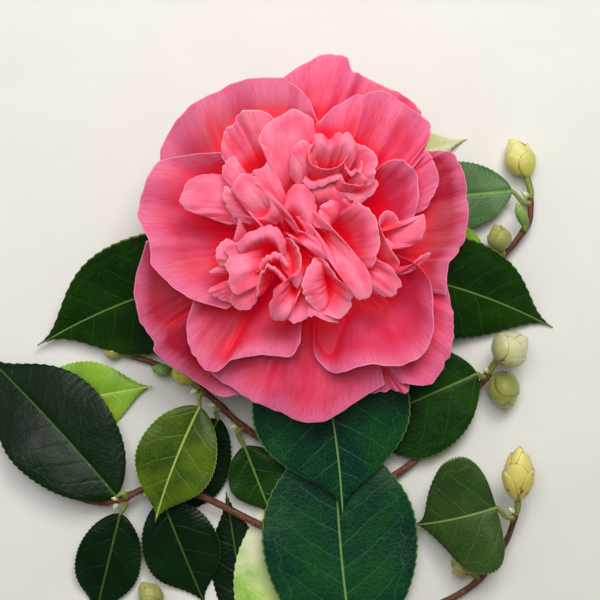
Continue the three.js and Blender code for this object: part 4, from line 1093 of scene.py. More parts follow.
# %% The stamens' finishes
FILAMENT_GRAIN = 700.0
FILAMENT_TINTS = ((244, 170, 100), (246, 110, 80))
POLLEN_GRAIN = 2600.0
POLLEN_TINTS = ((190, 74, 16), (232, 132, 34))


def filament_finish():
    """Apricot, unevenly flushed with pink."""
    material, tree, shader = new_finish("filament", {"Roughness": 0.5, "Subsurface Weight": 0.1})
    grain = tree.noise(tree.place(), FILAMENT_GRAIN)
    paint(tree, shader, tree.blend(grain, *(colour(*tint) for tint in FILAMENT_TINTS)))
    return material


def anther_finish():
    """Golden and grainy with pollen."""
    material, tree, shader = new_finish("anther", {"Roughness": 0.8})
    grain = tree.noise(tree.place(), POLLEN_GRAIN, detail=3.0)
    golden = tree.blend(tree.rise(grain, 0.35, 0.65), *(colour(*tint) for tint in POLLEN_TINTS))
    paint(tree, shader, golden, grain)
    return material


FILAMENT, ANTHER = filament_finish(), anther_finish()
print("stamen finishes:", FILAMENT.name, ANTHER.name)

# %% The stamens' tree
def stamen_tree():
    """A tube along every path of the mesh, with an anther on its far end."""
    tree, given = new_growth("stamens", {}, ("Filament radius", "Anther length", "Anther radius"))
    paths = tree.node("GeometryNodeMeshToCurve", values={0: given["Geometry"]})
    round_wire = {"Resolution": 5, "Radius": given["Filament radius"]}
    circle = tree.node("GeometryNodeCurvePrimitiveCircle", values=round_wire)
    swept = {"Curve": paths, "Profile Curve": circle, "Fill Caps": True}
    tubes = tree.node("GeometryNodeCurveToMesh", values=swept)
    tips = tree.node("GeometryNodeCurveEndpointSelection", values={0: 0, 1: 1})
    heading = tree.node("GeometryNodeInputTangent")
    turned = tree.node("FunctionNodeAlignRotationToVector", {"axis": "Z"}, {"Vector": heading})
    grain = tree.node("GeometryNodeMeshUVSphere", values={"Segments": 8, "Rings": 6, "Radius": 1.0})
    size = tree.triple(given["Anther radius"], given["Anther radius"] * 0.7, given["Anther length"] * 0.5)
    put = {"Points": paths, "Selection": tips, "Instance": grain, "Rotation": turned, "Scale": size}
    anthers = tree.node("GeometryNodeInstanceOnPoints", values=put)
    anthers = tree.node("GeometryNodeRealizeInstances", values={0: anthers})
    anthers = tree.store(anthers, "anther", True, "BOOLEAN", "FACE")
    both = tree.node("GeometryNodeJoinGeometry", values={0: [tubes, anthers]})
    end_growth(tree, both, FILAMENT, ANTHER, tree.stored("anther", "BOOLEAN"))
    return tree


STAMENS = stamen_tree()
print("the stamens' tree has", len(STAMENS.tree.nodes), "nodes")

# %% The tufts of stamens
TUFTS = [
    {"tip": (-14.8, -10.5, 55.0), "stamens": 9, "spread": 2.2},
    {"tip": (2.6, 3.6, 58.0), "stamens": 7, "spread": 1.4},
    {"tip": (-8.3, 13.6, 57.5), "stamens": 6, "spread": 1.3},
    {"tip": (-18.5, 3.8, 53.0), "stamens": 6, "spread": 1.5},
    {"tip": (13.2, 3.0, 48.5), "stamens": 5, "spread": 1.2},
]
STAMEN_SEED = 77
STAMEN_STEPS = 9
TUFT_SCATTER = (0.6, 0.6, 0.5)
TUFT_FOOT = 0.3
TUFT_RISE = 3.0
TUFT_BEND = 0.25
STAMEN_SIZES = {"Filament radius": 0.22 * MM, "Anther length": 2.0 * MM, "Anther radius": 0.5 * MM}


def tuft_paths(rng, tuft):
    """One curved path for each stamen, from the receptacle to near the tuft's tip."""
    tip = np.array(tuft["tip"])
    paths = []
    for _ in range(tuft["stamens"]):
        end = tip + rng.normal(0, 1, 3) * tuft["spread"] * np.array(TUFT_SCATTER)
        start = RECEPTACLE_AT + [end[0] * TUFT_FOOT, end[1] * TUFT_FOOT, TUFT_RISE]
        bend = (start + end) / 2 + (end - start) * [TUFT_BEND, TUFT_BEND, 0]
        share = np.linspace(0, 1, STAMEN_STEPS)[:, None]
        paths.append((1 - share) ** 2 * start + 2 * share * (1 - share) * bend + share**2 * end)
    return paths


def make_stamens():
    """All the stamens of the bloom, grown in one go."""
    rng = np.random.default_rng(STAMEN_SEED)
    paths = [path for tuft in TUFTS for path in tuft_paths(rng, tuft)]
    return settle(grow("stamens", STAMENS, STAMEN_SIZES, bare_lines(paths)), "bloom")


print("made", make_stamens().name)

# %% [markdown]
# Twigs are tapering tubes along a path. A camellia's young wood is smooth red-brown
# with fine ridges, older wood is greyer, and both swell where a leaf or twig leaves.
# The tree turns each path into a tube, keeps how far along and around each point lies,
# and pushes the surface in and out with noise read in those bark coordinates.

# %% The bark's finish
BARK_RIDGES = (1.6, 1.6, 0.22)
BARK_SPOTS = (0.9, 0.9, 0.45)
BARK_PATCHES = 0.16
BARK_DEPTH = 0.25
BARK_ROUGH = {"least": 0.48, "more": 0.3}
SPOT = {"size": (0.12, 0.22), "shows": 0.7, "stands": 0.3}
BARK_TINTS = {
    "young": ((58, 28, 14), (124, 70, 42), (176, 140, 104)),
    "old": ((52, 34, 24), (120, 92, 70), (168, 146, 120)),
}


def bark_finish(name, tints):
    """Bark, from the colours of its hollows, its long ridges and its few breathing spots."""
    material, tree, shader = new_finish("bark_" + name, {"Roughness": 0.62})
    place = tree.attribute("bark")
    parts = tree.parts(place)
    ridges = tree.noise(tree.stretch(parts, BARK_RIDGES), detail=4.0, roughness=0.6)
    patches = tree.noise(place, BARK_PATCHES)
    spot = tree.fall(tree.spots(tree.stretch(parts, BARK_SPOTS)), *SPOT["size"])
    deep, ridge, pale = (colour(*tint) for tint in tints)
    body = tree.blend(tree.rise(ridges * 0.7 + patches * 0.4, 0.35, 0.75), deep, ridge)
    body = tree.blend(spot * SPOT["shows"], body, pale)
    paint(tree, shader, body, ridges + spot * SPOT["stands"], BARK_DEPTH)
    tree.fill(shader.inputs["Roughness"], ridges * BARK_ROUGH["more"] + BARK_ROUGH["least"])
    return material


BARKS = {name: bark_finish(name, tints) for name, tints in BARK_TINTS.items()}
print("barks:", list(BARKS))

# %% The tree for a limb
def limb_tree():
    """A tapering tube along a path, with relief in the bark's own coordinates."""
    kinds = {"Sides": "Int", "Material": "Material"}
    tree, given = new_growth("limb", kinds, ("Relief", "Grain across", "Grain along"))
    path = tree.node("GeometryNodeMeshToCurve", values={0: given["Geometry"]})
    path = tree.store(path, "along", tree.node("GeometryNodeSplineParameter", output=1) / MM, "FLOAT")
    circle = {"Resolution": given["Sides"], "Radius": 1.0}
    ring = tree.node("GeometryNodeCurvePrimitiveCircle", values=circle)
    ring = tree.store(ring, "around", tree.node("GeometryNodeInputPosition"))
    girth = tree.stored("girth")
    swept = {"Curve": path, "Profile Curve": ring, "Scale": girth, "Fill Caps": True}
    tube = tree.node("GeometryNodeCurveToMesh", values=swept)
    x, y, _ = tree.parts(tree.stored("around", "FLOAT_VECTOR"))
    bark = tree.triple(x * (girth / MM), y * (girth / MM), tree.stored("along"))
    tube = tree.store(tube, "bark", bark)
    pitches = (given["Grain across"], given["Grain across"], given["Grain along"])
    grain = tree.noise(tree.stretch(tree.parts(bark), pitches), detail=3.0)
    out = tree.node("GeometryNodeInputNormal")
    pushed = {"Geometry": tube, "Offset": out * ((grain - 0.5) * given["Relief"])}
    tube = tree.node("GeometryNodeSetPosition", values=pushed)
    end_growth(tree, tube, given["Material"])
    return tree


LIMB = limb_tree()
print("the limb's tree has", len(LIMB.tree.nodes), "nodes")

# %% [markdown]
# Twigs, leaves and buds aren't stuck on: each leaves the bark at a place of its own.
# So the limb's line is traced first, and the nearest place on its bark becomes a seat,
# from which a stalk starts. The limb is made last, since it swells at every seat.

# %% Where things sit on a limb
SEAT_GAP = 0.3
SEAT_SAMPLES = 200
SEAT_LAST = 195
TRACE_SAMPLES = 1201


def trace(path, count):
    """count evenly spaced places on the smooth line through a path."""
    fine = smooth_line(path, np.linspace(0, 1, TRACE_SAMPLES))
    run = np.concatenate([[0], np.cumsum(np.linalg.norm(np.diff(fine, axis=0), axis=1))])
    wanted = np.linspace(0, run[-1], count)
    return np.stack([np.interp(wanted, run, fine[:, axis]) for axis in range(3)], axis=-1)


def new_limb(path, start_radius, end_radius):
    """A limb's line, its headings and its two radii."""
    line = trace(path, SEAT_SAMPLES + 1)
    return {"line": line, "heading": unit(np.gradient(line, axis=0)), "radii": (start_radius, end_radius)}


def radius_at(limb, share):
    """The limb's radius at a share of its length."""
    start, end = limb["radii"]
    return start + (end - start) * share


def seat(limb, near, towards):
    """The nearest place on the limb's bark, its way out, and how far along it is."""
    step = int(np.argmin(np.linalg.norm(limb["line"][:SEAT_LAST] - near, axis=1)))
    axis, heading = limb["line"][step], limb["heading"][step]
    out = np.asarray(towards, float) - axis
    out = unit(out - heading * out.dot(heading))
    share = step / SEAT_SAMPLES
    return axis + out * (radius_at(limb, share) + SEAT_GAP), out, share


def end_seat(limb):
    """The same for a bud that ends the limb."""
    out = limb["heading"][-1]
    return limb["line"][-1] + out * SEAT_GAP, out, 1.0


print("a seat stands", SEAT_GAP, "mm clear of the bark")

# %% The stem's and the twigs' paths
STEM_PATH = [
    (13, -212, 2.8), (12.5, -187, 2.7), (13, -161, 2.7), (14, -138, 2.6), (12.5, -114, 2.6),
    (10.5, -94, 2.8), (8.5, -76, 3.2), (6.5, -56, 5.5), (4, -36, 9.5), (1.2, -17, 12.5), (0.2, -5, 14.2),
    (0, -1, 16.2), (0, 0, 19.6),
]

TWIGS = {
    "twig_left_mid": ("stem_main", [
        (2, -76, 3.6), (-8, -73.5, 4.6), (-20.5, -66, 8), (-32, -55, 12), (-36.5, -51.5, 14),
    ]),
    "twig_left_bud": ("twig_left_mid", [
        (-35, -50, 9.5), (-44, -47.5, 4.6), (-54, -43, 3.4), (-62, -40.5, 3.4),
    ]),
    "twig_left_low": ("stem_main", [
        (7, -111.5, 5.2), (-5, -106, 5.2), (-18.5, -99.5, 5.4), (-40, -89, 7.4), (-53, -87, 9),
        (-65, -91.5, 8.5), (-73, -93, 6), (-88, -88.5, 2.6), (-99, -76.5, 1.8), (-103.5, -66, 1.8),
    ]),
    "twig_right_up": ("stem_main", [
        (8, -22, 12), (18, -20.5, 9.5), (35, -18.5, 7), (60.5, -11.5, 5.5), (74, -2.5, 6),
        (78.5, 3, 6.5), (81.5, 8, 6.5), (82, 17, 6),
    ]),
    "twig_right_low": ("stem_main", [
        (16, -92, 3), (24.5, -88, 3.4), (36.5, -81.5, 4), (47.5, -71.5, 4.4), (57, -60, 5),
        (64, -50.5, 8), (66.5, -46, 10.5),
    ]),
    "twig_right_bottom": ("stem_main", [
        (20, -140, 3), (42.5, -133, 3.5), (62, -122.5, 4.5), (72.5, -107, 9), (75.5, -95, 15),
    ]),
    "twig_bottom_left": ("stem_main", [
        (7, -159, 2.6), (-4.5, -154.5, 2.6), (-29.5, -143.5, 3.6), (-49, -132.5, 5),
    ]),
}

STEM_RADII = (2.6, 1.9)
TWIG_RADII = (1.4, 1.0)
TWIG_ROOT = SEAT_GAP * 4

LIMBS = {"stem_main": new_limb(STEM_PATH, *STEM_RADII)}
JOINTS = {"stem_main": []}
for name, (bearer, path) in TWIGS.items():
    first = np.array(path[0], float)
    spot, out, share = seat(LIMBS[bearer], first, first)
    LIMBS[name] = new_limb([spot, *path], *TWIG_RADII)
    LIMBS[name]["inside"] = spot - out * TWIG_ROOT
    JOINTS[bearer].append(share)
    JOINTS[name] = []
print("limbs:", list(LIMBS))

# %% The leaves' places
LEAF_BROADEST = 0.46


def leaf(on, base, tip, width, look, broadest=LEAF_BROADEST, roll=0, fold=0, arch=0, sweep=0, pale=False):
    """What draws one leaf: what bears it, where it lies, its look and how it bends."""
    return {
        "on": on, "base": np.array(base, float), "tip": np.array(tip, float), "width": width, "look": look,
        "broadest": broadest, "roll": roll, "fold": fold, "arch": arch, "sweep": sweep, "pale": pale,
    }


LEAVES = {
    "leaf_under_bloom": leaf(
        "stem_main", (3, -27, 18), (14.5, -96.5, 11.5), 55, "bluish", fold=5, arch=1.5, sweep=-2,
    ),
    "leaf_foot_large": leaf(
        "stem_main", (18.5, -146, 9), (12, -56.5, 7.5), 55, "bluish", fold=6, sweep=-2,
    ),
    "leaf_foot_pale": leaf(
        "stem_main", (-2, -161, 5), (-13, -85, 0.6), 34, "pale", fold=6, arch=-0.8, pale=True,
    ),
    "leaf_strip": leaf("twig_left_mid", (-20.5, -73, 6.5), (-11, -98, 4), 20, "olive", fold=8),
    "leaf_left_mid": leaf(
        "twig_left_mid", (-36, -58, 15.5), (-52, -99, 12), 28, "sunlit", roll=3, fold=10, arch=1.5,
        sweep=1,
    ),
    "leaf_left_mid_back": leaf(
        "twig_left_mid", (-30, -63, 9), (-47, -102, 0.6), 22, "shade", fold=3, arch=-1,
    ),
    "leaf_left_low": leaf(
        "twig_left_low", (-66, -90, 11), (-115, -40, 0.6), 38, "shade", roll=4, fold=6, arch=3.5,
        sweep=1.5,
    ),
    "leaf_left_low_dark": leaf(
        "twig_left_low", (-65, -97, 7.5), (-75, -136, 0.6), 23, "shade", fold=6, arch=1,
    ),
    "leaf_left_foot": leaf("twig_left_low", (-50, -92, 7), (-35, -131, 0.6), 27, "shade", fold=5, arch=1),
    "leaf_left_wide": leaf(
        "stem_main", (-16, -10, 18.5), (-95, -37, 5), 44, "dusky", roll=-20, fold=8, arch=2, sweep=4.5,
    ),
    "leaf_right_wide": leaf(
        "stem_main", (19, -9, 17), (91, -30.5, 0.6), 37, "dusky", roll=18, fold=9, arch=3, sweep=-3.5,
    ),
    "leaf_right_low": leaf(
        "twig_right_low", (62, -46.5, 13), (13, -69, 4.5), 41, "olive", roll=-6, fold=5,
    ),
    "leaf_right_foot": leaf(
        "twig_right_bottom", (68, -93, 18), (40, -101.5, 4), 42, "greyish", broadest=0.3, fold=8, arch=5,
    ),
    "leaf_right_up": leaf(
        "twig_right_up", (75, 18.5, 8.5), (29.5, 14.5, 5), 24, "misty", fold=4, arch=0.5,
    ),
    "leaf_right_small": leaf(
        "twig_right_up", (64, -5, 9.5), (50, 7, 11.5), 9, "young", fold=6, pale=True,
    ),
    "leaf_top_right": leaf(
        "stem_main", (15, 24, 17), (60, 38, 0.6), 15, "creamy", fold=6, arch=3.5, pale=True,
    ),
    "leaf_left_sunlit": leaf(
        "twig_left_low", (-101, -60, 1.5), (-54, -51.5, 3.5), 26, "young", fold=2, pale=True,
    ),
    "leaf_foot_dark": leaf(
        "twig_bottom_left", (-19, -143, 2.2), (-27.5, -90, 0.6), 19, "shade", fold=1, arch=-0.5,
    ),
}

LEAF_SEAT_BACK = 6.0

LEAF_SEATS = {}
for name, spec in LEAVES.items():
    back = unit(spec["tip"] - spec["base"]) * LEAF_SEAT_BACK
    LEAF_SEATS[name] = seat(LIMBS[spec["on"]], spec["base"] - back, spec["base"])
    JOINTS[spec["on"]].append(LEAF_SEATS[name][2])
print("leaves:", len(LEAVES))

# %% The buds' places
def bud(on, base, tip, radius, look, terminal=False):
    """What draws one bud: what bears it, where it lies, its look, and whether it ends the twig."""
    return {
        "on": on, "base": np.array(base, float), "tip": np.array(tip, float), "radius": radius,
        "look": look, "terminal": terminal,
    }


BUDS = {
    "bud_cream": bud("twig_right_low", (68, -41.5, 14), (79, -33.5, 17), 6.6, "cream", terminal=True),
    "bud_pear": bud("twig_right_low", (70.5, -46, 9), (73.5, -59.5, 8), 5.8, "pear"),
    "bud_scarred": bud(
        "twig_right_bottom", (75.5, -90.5, 17.5), (75.5, -71, 22), 5.4, "scarred", terminal=True,
    ),
    "bud_olive": bud("twig_right_up", (71.5, -3, 9.5), (69, 6.5, 9.5), 4.2, "olive"),
    "bud_sepalled": bud("twig_right_up", (81, 23.5, 6), (75, 37.5, 6.2), 5.2, "lemon", terminal=True),
    "bud_leafy": bud("twig_right_up", (80, 5.5, 9), (76, 14, 11.5), 1.9, "green"),
    "bud_low_right": bud("twig_right_bottom", (61, -118.5, 6.5), (54, -112.5, 6), 4.2, "olive"),
    "bud_low_left": bud("twig_bottom_left", (-51, -131, 5), (-58, -122, 5), 4.2, "olive"),
    "bud_yellow": bud(
        "twig_left_mid", (-38, -49.5, 15.5), (-45, -41.5, 17.5), 4.3, "bright", terminal=True,
    ),
    "bract_green": bud("twig_left_bud", (-46.5, -46.5, 8), (-54, -44.5, 7.6), 2.3, "green"),
    "bud_left_olive": bud(
        "twig_left_bud", (-64.5, -39.5, 3.6), (-72, -37.5, 3.6), 3.3, "olive", terminal=True,
    ),
}

STALK_RADIUS = 1.0

BUD_SEATS = {}
for name, spec in BUDS.items():
    if spec["terminal"]:
        BUD_SEATS[name] = end_seat(LIMBS[spec["on"]])
    else:
        back = unit(spec["tip"] - spec["base"]) * STALK_RADIUS
        BUD_SEATS[name] = seat(LIMBS[spec["on"]], spec["base"] - back, spec["base"])
        JOINTS[spec["on"]].append(BUD_SEATS[name][2])
print("buds:", len(BUDS))

# %% The stem and the twigs
LIMB_STEP = 0.7
SWELLING = {"share": 0.22, "reach": 2.2}
LOWEST = 0.15
FLARED = (1.5, 1.45, 1.25, 1.1)
LIMB_LOOKS = {
    "stem_main": {"Sides": 32, "Relief": 0.5 * MM, "Grain across": 0.7, "Grain along": 0.1, "bark": "old"},
    "twig": {"Sides": 20, "Relief": 0.26 * MM, "Grain across": 1.0, "Grain along": 0.14, "bark": "young"},
}


def grow_tube(name, line, girths, settings):
    """A limb's tube along a line, held just above the table."""
    line[:, 2] = np.maximum(line[:, 2], girths + LOWEST)
    return grow(name, LIMB, settings, bare_lines([line], girths))


def swollen(limb, shares, joints):
    """The limb's radii at shares of its length, thicker by each joint."""
    length = run_of(limb["line"])
    radii = radius_at(limb, shares)
    for joint in joints:
        away = (shares - joint) * length / SWELLING["reach"]
        radii = radii * (1 + SWELLING["share"] * np.exp(-(away**2)))
    return radii


def make_limb(name, limb, joints, look):
    """One limb: a swollen, slightly rough tube that starts inside what bears it."""
    count = int(run_of(limb["line"]) / LIMB_STEP)
    line = trace(limb["line"], count)
    girths = swollen(limb, np.linspace(0, 1, count), joints)
    if "inside" in limb:
        line = np.vstack([limb["inside"], line])
        girths = np.concatenate([[girths[0]], girths])
        girths[: len(FLARED)] *= FLARED
    settings = {key: value for key, value in look.items() if key != "bark"}
    settings["Material"] = BARKS[look["bark"]]
    return settle(grow_tube(name + "_bark", line, girths, settings), name)


for name, limb in LIMBS.items():
    look = LIMB_LOOKS.get(name, LIMB_LOOKS["twig"])
    made = make_limb(name, limb, JOINTS[name], look)
    print(made.name, "has", len(made.data.polygons), "faces")

# %% [markdown]
# A camellia leaf is thick, glossy and finely toothed. Its midrib is sunk on top, and
# side veins leave it at about fifty degrees, curve forward and join each other in
# loops short of the margin. One tree bends a fine grid along the leaf's midrib: the
# teeth widen the outline, and the veins are pressed into the surface itself.

# %% The veins' pattern
VEIN_LEAN = 0.6
VEIN_BEND = 0.008
VEIN_SPACING = 9.0
LOOP_AT = 0.84
LOOP_SWING = 0.06
LOOP_STRENGTH = 0.4
VEIN_THIN = {"midrib": 0.032, "thinner": 0.016}
VEIN_ENDS = (0.8, 0.93)
LOOP_THIN = 0.016
LOOP_BEGINS = (0.6, 0.75)
VEIN_WANDER = {"pitches": (0.06, 0.06, 1.0), "reach": 5.0}
SIDES_APART = 0.21
LEAVES_APART = 0.37


def vein_lines(tree, reach, along, share, number):
    """How near a place is to a side vein or a loop: 1 on it, 0 away from it."""
    away = abs(reach)
    side = tree.reckon("SIGN", reach)
    wander = tree.noise(tree.stretch((reach, along, number), VEIN_WANDER["pitches"]))
    start = along - away * VEIN_LEAN - away * away * VEIN_BEND + wander * VEIN_WANDER["reach"]
    phase = start / VEIN_SPACING + side * SIDES_APART + number * LEAVES_APART
    off = abs(tree.reckon("FRACT", phase) - 0.5)
    thin = VEIN_THIN["midrib"] - share * VEIN_THIN["thinner"]
    vein = tree.fall(off / thin, 0.0, 1.0) * tree.fall(share, *VEIN_ENDS)
    swing = tree.reckon("SINE", off * math.pi) ** 2.0
    loop_off = abs(share - LOOP_AT + swing * LOOP_SWING)
    loop = tree.fall(loop_off, 0.0, LOOP_THIN) * tree.rise(share, *LOOP_BEGINS)
    return tree.reckon("MAXIMUM", vein, loop * LOOP_STRENGTH)


print("side veins stand", VEIN_SPACING, "mm apart")

# %% The leaf's tree
LEAF_TAPER = {"base": 0.65, "tip": 2.1}
LEAF_TEETH = 27
ROWS_PER_TOOTH = 5
LEAF_COLUMNS = 44
MIDRIB_WIDTH = 0.75
TEETH_BEGIN = (0.04, 0.16)
TEETH_END = (0.93, 1.0)
LEAF_LEAST = 0.15 * MM
FOLD_ROUND = 0.8 * MM
RIPPLE_PITCH = 17.0
RIPPLE_SHIFT = 1.3
PUCKER = {"pitches": (0.16, 0.16, 1.0), "height": 0.9}
VEIN_DEPTH = 0.55
RIB_FADE = 0.6
MARGIN_THINNED = 0.6


def leaf_tree():
    """A leaf's blade: a fine closed grid bent along its midrib, toothed and veined."""
    sizes = (
        "Width", "Broadest", "Roll", "Fold", "Arch", "Sweep", "Thickness", "Tooth",
        "Furrow", "Ripple", "Droop", "Number",
    )
    kinds = {"Base": "Vector", "Tip": "Vector", "Material": "Material"}
    tree, given = new_growth("leaf", kinds, sizes)
    points = {1: LEAF_COLUMNS + 1, 2: LEAF_TEETH * ROWS_PER_TOOTH + 1, 3: 2}
    shape = tree.node("GeometryNodeMeshCube", values=points)
    x, y, z = tree.parts(tree.node("GeometryNodeInputPosition"))
    across, v, face = x * 2.0, y + 0.5, z * 2.0
    share = abs(across)

    base, tip = given["Base"], given["Tip"]
    level = tree.square_to(tip - base, UP)
    lift = tree.triple(0.0, 0.0, given["Arch"] * 2.0)
    middle = (base + tip) * 0.5 + level * (given["Sweep"] * 2.0) + lift
    rest = 1 - v
    midrib = base * (rest * rest) + middle * (v * rest * 2.0) + tip * (v * v)
    tangent = tree.reckon("NORMALIZE", (middle - base) * rest + (tip - middle) * v)
    flat_side = tree.square_to(tangent, UP)
    turned = tree.reckon("CROSS_PRODUCT", tangent, flat_side)
    roll = given["Roll"]
    side = flat_side * tree.reckon("COSINE", roll) + turned * tree.reckon("SINE", roll)
    up = tree.reckon("CROSS_PRODUCT", side, tangent)

    exponent = tree.reckon("LOGARITHM", 0.5, given["Broadest"])
    hump = tree.reckon("SINE", tree.reckon("MAXIMUM", v, 0.0001) ** exponent * math.pi)
    hump = tree.reckon("MAXIMUM", hump, 0.0)
    power = v**3 * (LEAF_TAPER["tip"] - LEAF_TAPER["base"]) + LEAF_TAPER["base"]
    tooth = tree.reckon("FRACT", v * float(LEAF_TEETH) + 0.1)
    toothed = tooth * given["Tooth"] * tree.rise(v, *TEETH_BEGIN) * tree.fall(v, *TEETH_END)
    half = hump**power * (given["Width"] * 0.5) + toothed + LEAF_LEAST
    reach = across * half
    flat, steep = tree.reckon("COSINE", given["Fold"]), tree.reckon("SINE", given["Fold"])
    rounded = (reach * reach + FOLD_ROUND**2) ** 0.5
    bowed = (rounded - FOLD_ROUND) * steep - share * share * share * given["Droop"]
    swing = v * RIPPLE_PITCH + tree.reckon("SIGN", across) * RIPPLE_SHIFT + given["Number"]
    bowed = bowed + tree.reckon("SINE", swing) * share * share * given["Ripple"]
    place = midrib + side * (reach * flat) + up * bowed

    spread = side * flat + up * (reach / rounded * steep)
    out = tree.square_to(spread, tangent)
    reach_mm, along_mm = reach / MM, v * tree.length(tip - base) / MM
    veins = vein_lines(tree, reach_mm, along_mm, share, given["Number"])
    rib = tree.fall(abs(reach_mm), 0.0, MIDRIB_WIDTH * 2)
    puckers = tree.noise(tree.stretch((reach_mm, along_mm, given["Number"]), PUCKER["pitches"]))
    relief = (puckers - 0.5) * PUCKER["height"] - veins * VEIN_DEPTH - rib * (1 - v * RIB_FADE)
    half_thick = given["Thickness"] * 0.5 * (1 - share**8 * MARGIN_THINNED)
    place = place + out * (relief * given["Furrow"] + face * half_thick)

    px, py, pz = tree.parts(place)
    floor_height = (face + 1.0) * half_thick + LOWEST * MM
    place = tree.triple(px, py, tree.reckon("MAXIMUM", pz, floor_height))
    shape = tree.store(shape, "blade", tree.triple(reach_mm, along_mm, given["Number"]))
    shape = tree.store(shape, "share", tree.triple(across, v, face))
    shape = tree.node("GeometryNodeSetPosition", values={"Geometry": shape, "Position": place})
    end_growth(tree, shape, given["Material"])
    return tree


LEAF = leaf_tree()
print("the leaf's tree has", len(LEAF.tree.nodes), "nodes")

# %% [markdown]
# Each leaf look has four colours: the blade's depths, its lights, its veins, and its
# midrib and thin margin. Leaves that lie in shade wear a nearly black green, which is
# painted shade, and the sunlit look is painted sunlight. A grey green look is green with
# painted sheen, and the bluish look is dark green with a painted sky reflection. Young
# leaves are yellow green, and two are painted paler towards their tips: painted sunlight
# that strikes through them. The gloss is the cuticle's: smooth between veins, slightly
# dimpled all over.

# %% The leaves' finishes
LEAF_LOOKS = {
    # Dark green with a painted bluish sky reflection.
    "bluish": ((2, 44, 34), (16, 72, 28), (66, 124, 84), (124, 160, 84)),
    "olive": ((12, 48, 8), (32, 72, 16), (66, 106, 44), (110, 142, 62)),
    # Painted shade: a nearly black green for leaves that lie in shade.
    "shade": ((2, 24, 5), (10, 38, 10), (26, 58, 22), (64, 96, 38)),
    "dusky": ((10, 42, 2), (26, 64, 8), (60, 96, 32), (112, 138, 66)),
    # Green with a painted grey sheen.
    "misty": ((44, 90, 38), (98, 136, 84), (126, 160, 106), (124, 164, 64)),
    # Painted sunlight on a leaf.
    "sunlit": ((44, 70, 14), (92, 118, 20), (122, 148, 50), (172, 194, 92)),
    "greyish": ((40, 66, 24), (64, 92, 40), (98, 126, 72), (136, 158, 84)),
    "young": ((98, 142, 34), (152, 196, 58), (170, 200, 92), (190, 210, 112)),
    "pale": ((118, 180, 48), (206, 228, 138), (232, 246, 168), (232, 244, 172)),
    "creamy": ((190, 206, 120), (236, 238, 190), (168, 190, 96), (214, 222, 146)),
}
# Two looks get painted sunlight towards their tips, where the sun strikes through them.
SUNLIT_TIPS = {"pale": 0.9, "creamy": 0.4}
SUNLIGHT_TINT = (244, 240, 222)
LEAF_NET = 0.62
LEAF_PATCHES = 0.055
LEAF_GRAIN = 1.4
MARGIN = (0.972, 0.995)
RIB_EDGE = {"from": 0.2, "to": 0.6, "narrows": 0.25}
SUNLIGHT_SPAN = {"from": 0.45, "to": 0.9, "stray": 0.5}
PATTERNS_APART = 9.0
LEAF_SHOWS = {"grain": 0.25, "net": 0.16, "veins": 0.55, "margin": 0.65, "rib": 0.9, "under": 0.45}
LEAF_RELIEF = {"grain": 0.3, "net": 0.2, "veins": 0.5}
LEAF_ROUGH = {"least": 0.25, "grain": 0.1, "under": 0.25}
LEAF_SHADER = {"Roughness": 0.3, "Specular IOR Level": 0.15}


def leaf_finish(name, tints):
    """Glossy leather, from the colours of its depths, its lights, its veins and its midrib."""
    material, tree, shader = new_finish("leaf_" + name, LEAF_SHADER)
    reach, along, number = tree.parts(tree.attribute("blade"))
    across, v, face = tree.parts(tree.attribute("share"))
    share = abs(across)
    veins = vein_lines(tree, reach, along, share, number)
    place = tree.triple(reach, along, number * PATTERNS_APART)
    net = tree.fall(tree.spots(place, LEAF_NET, "DISTANCE_TO_EDGE"), 0.0, 0.1)
    patch = tree.noise(place, LEAF_PATCHES, detail=3.0)
    fine = tree.noise(place, LEAF_GRAIN, detail=3.0)
    rib = tree.fall(abs(reach), RIB_EDGE["from"], RIB_EDGE["to"] - v * RIB_EDGE["narrows"])
    under = tree.rise(-face, -0.5, 0.5)
    margin = tree.rise(share, *MARGIN)
    stray = (patch - 0.5) * SUNLIGHT_SPAN["stray"]
    # Painted sunlight: paler towards the tip, in patches.
    painted_sunlight = tree.rise(v + stray, SUNLIGHT_SPAN["from"], SUNLIGHT_SPAN["to"]) * SUNLIT_TIPS.get(name, 0.0)
    deep, light, vein, ribbed = (colour(*tint) for tint in tints)
    body = tree.coats(
        tree.blend(tree.rise(patch, 0.32, 0.68), deep, light),
        (fine * LEAF_SHOWS["grain"], deep),
        (painted_sunlight, colour(*SUNLIGHT_TINT)),
        (net * LEAF_SHOWS["net"], vein),
        (veins * LEAF_SHOWS["veins"], vein),
        (margin * LEAF_SHOWS["margin"], ribbed),
        (rib * LEAF_SHOWS["rib"], ribbed),
        (under * LEAF_SHOWS["under"], light),
    )
    raised = fine * LEAF_RELIEF["grain"] + net * LEAF_RELIEF["net"]
    paint(tree, shader, body, raised - veins * LEAF_RELIEF["veins"])
    rough = under * LEAF_ROUGH["under"] + fine * LEAF_ROUGH["grain"] + LEAF_ROUGH["least"]
    tree.fill(shader.inputs["Roughness"], rough)
    return material


LEAF_FINISHES = {name: leaf_finish(name, tints) for name, tints in LEAF_LOOKS.items()}
print("leaf finishes:", list(LEAF_FINISHES))

# %% The leaves' blades
LEAF_SIZES = {"Thickness": 0.55, "Tooth": 0.5, "Furrow": 0.34, "Ripple": 0.5, "Droop": 0.9}


def make_leaf(name, number, spec):
    """One leaf's blade, grown by the leaf's tree."""
    settings = {
        "Base": numbers(spec["base"]),
        "Tip": numbers(spec["tip"]),
        "Broadest": spec["broadest"],
        "Number": float(number),
        "Material": LEAF_FINISHES[spec["look"]],
        **{key: math.radians(spec[key.lower()]) for key in ("Roll", "Fold")},
        **{key: spec[key.lower()] * MM for key in ("Width", "Arch", "Sweep")},
        **{key: size * MM for key, size in LEAF_SIZES.items()},
    }
    return settle(grow(name + "_blade", LEAF, settings), name)


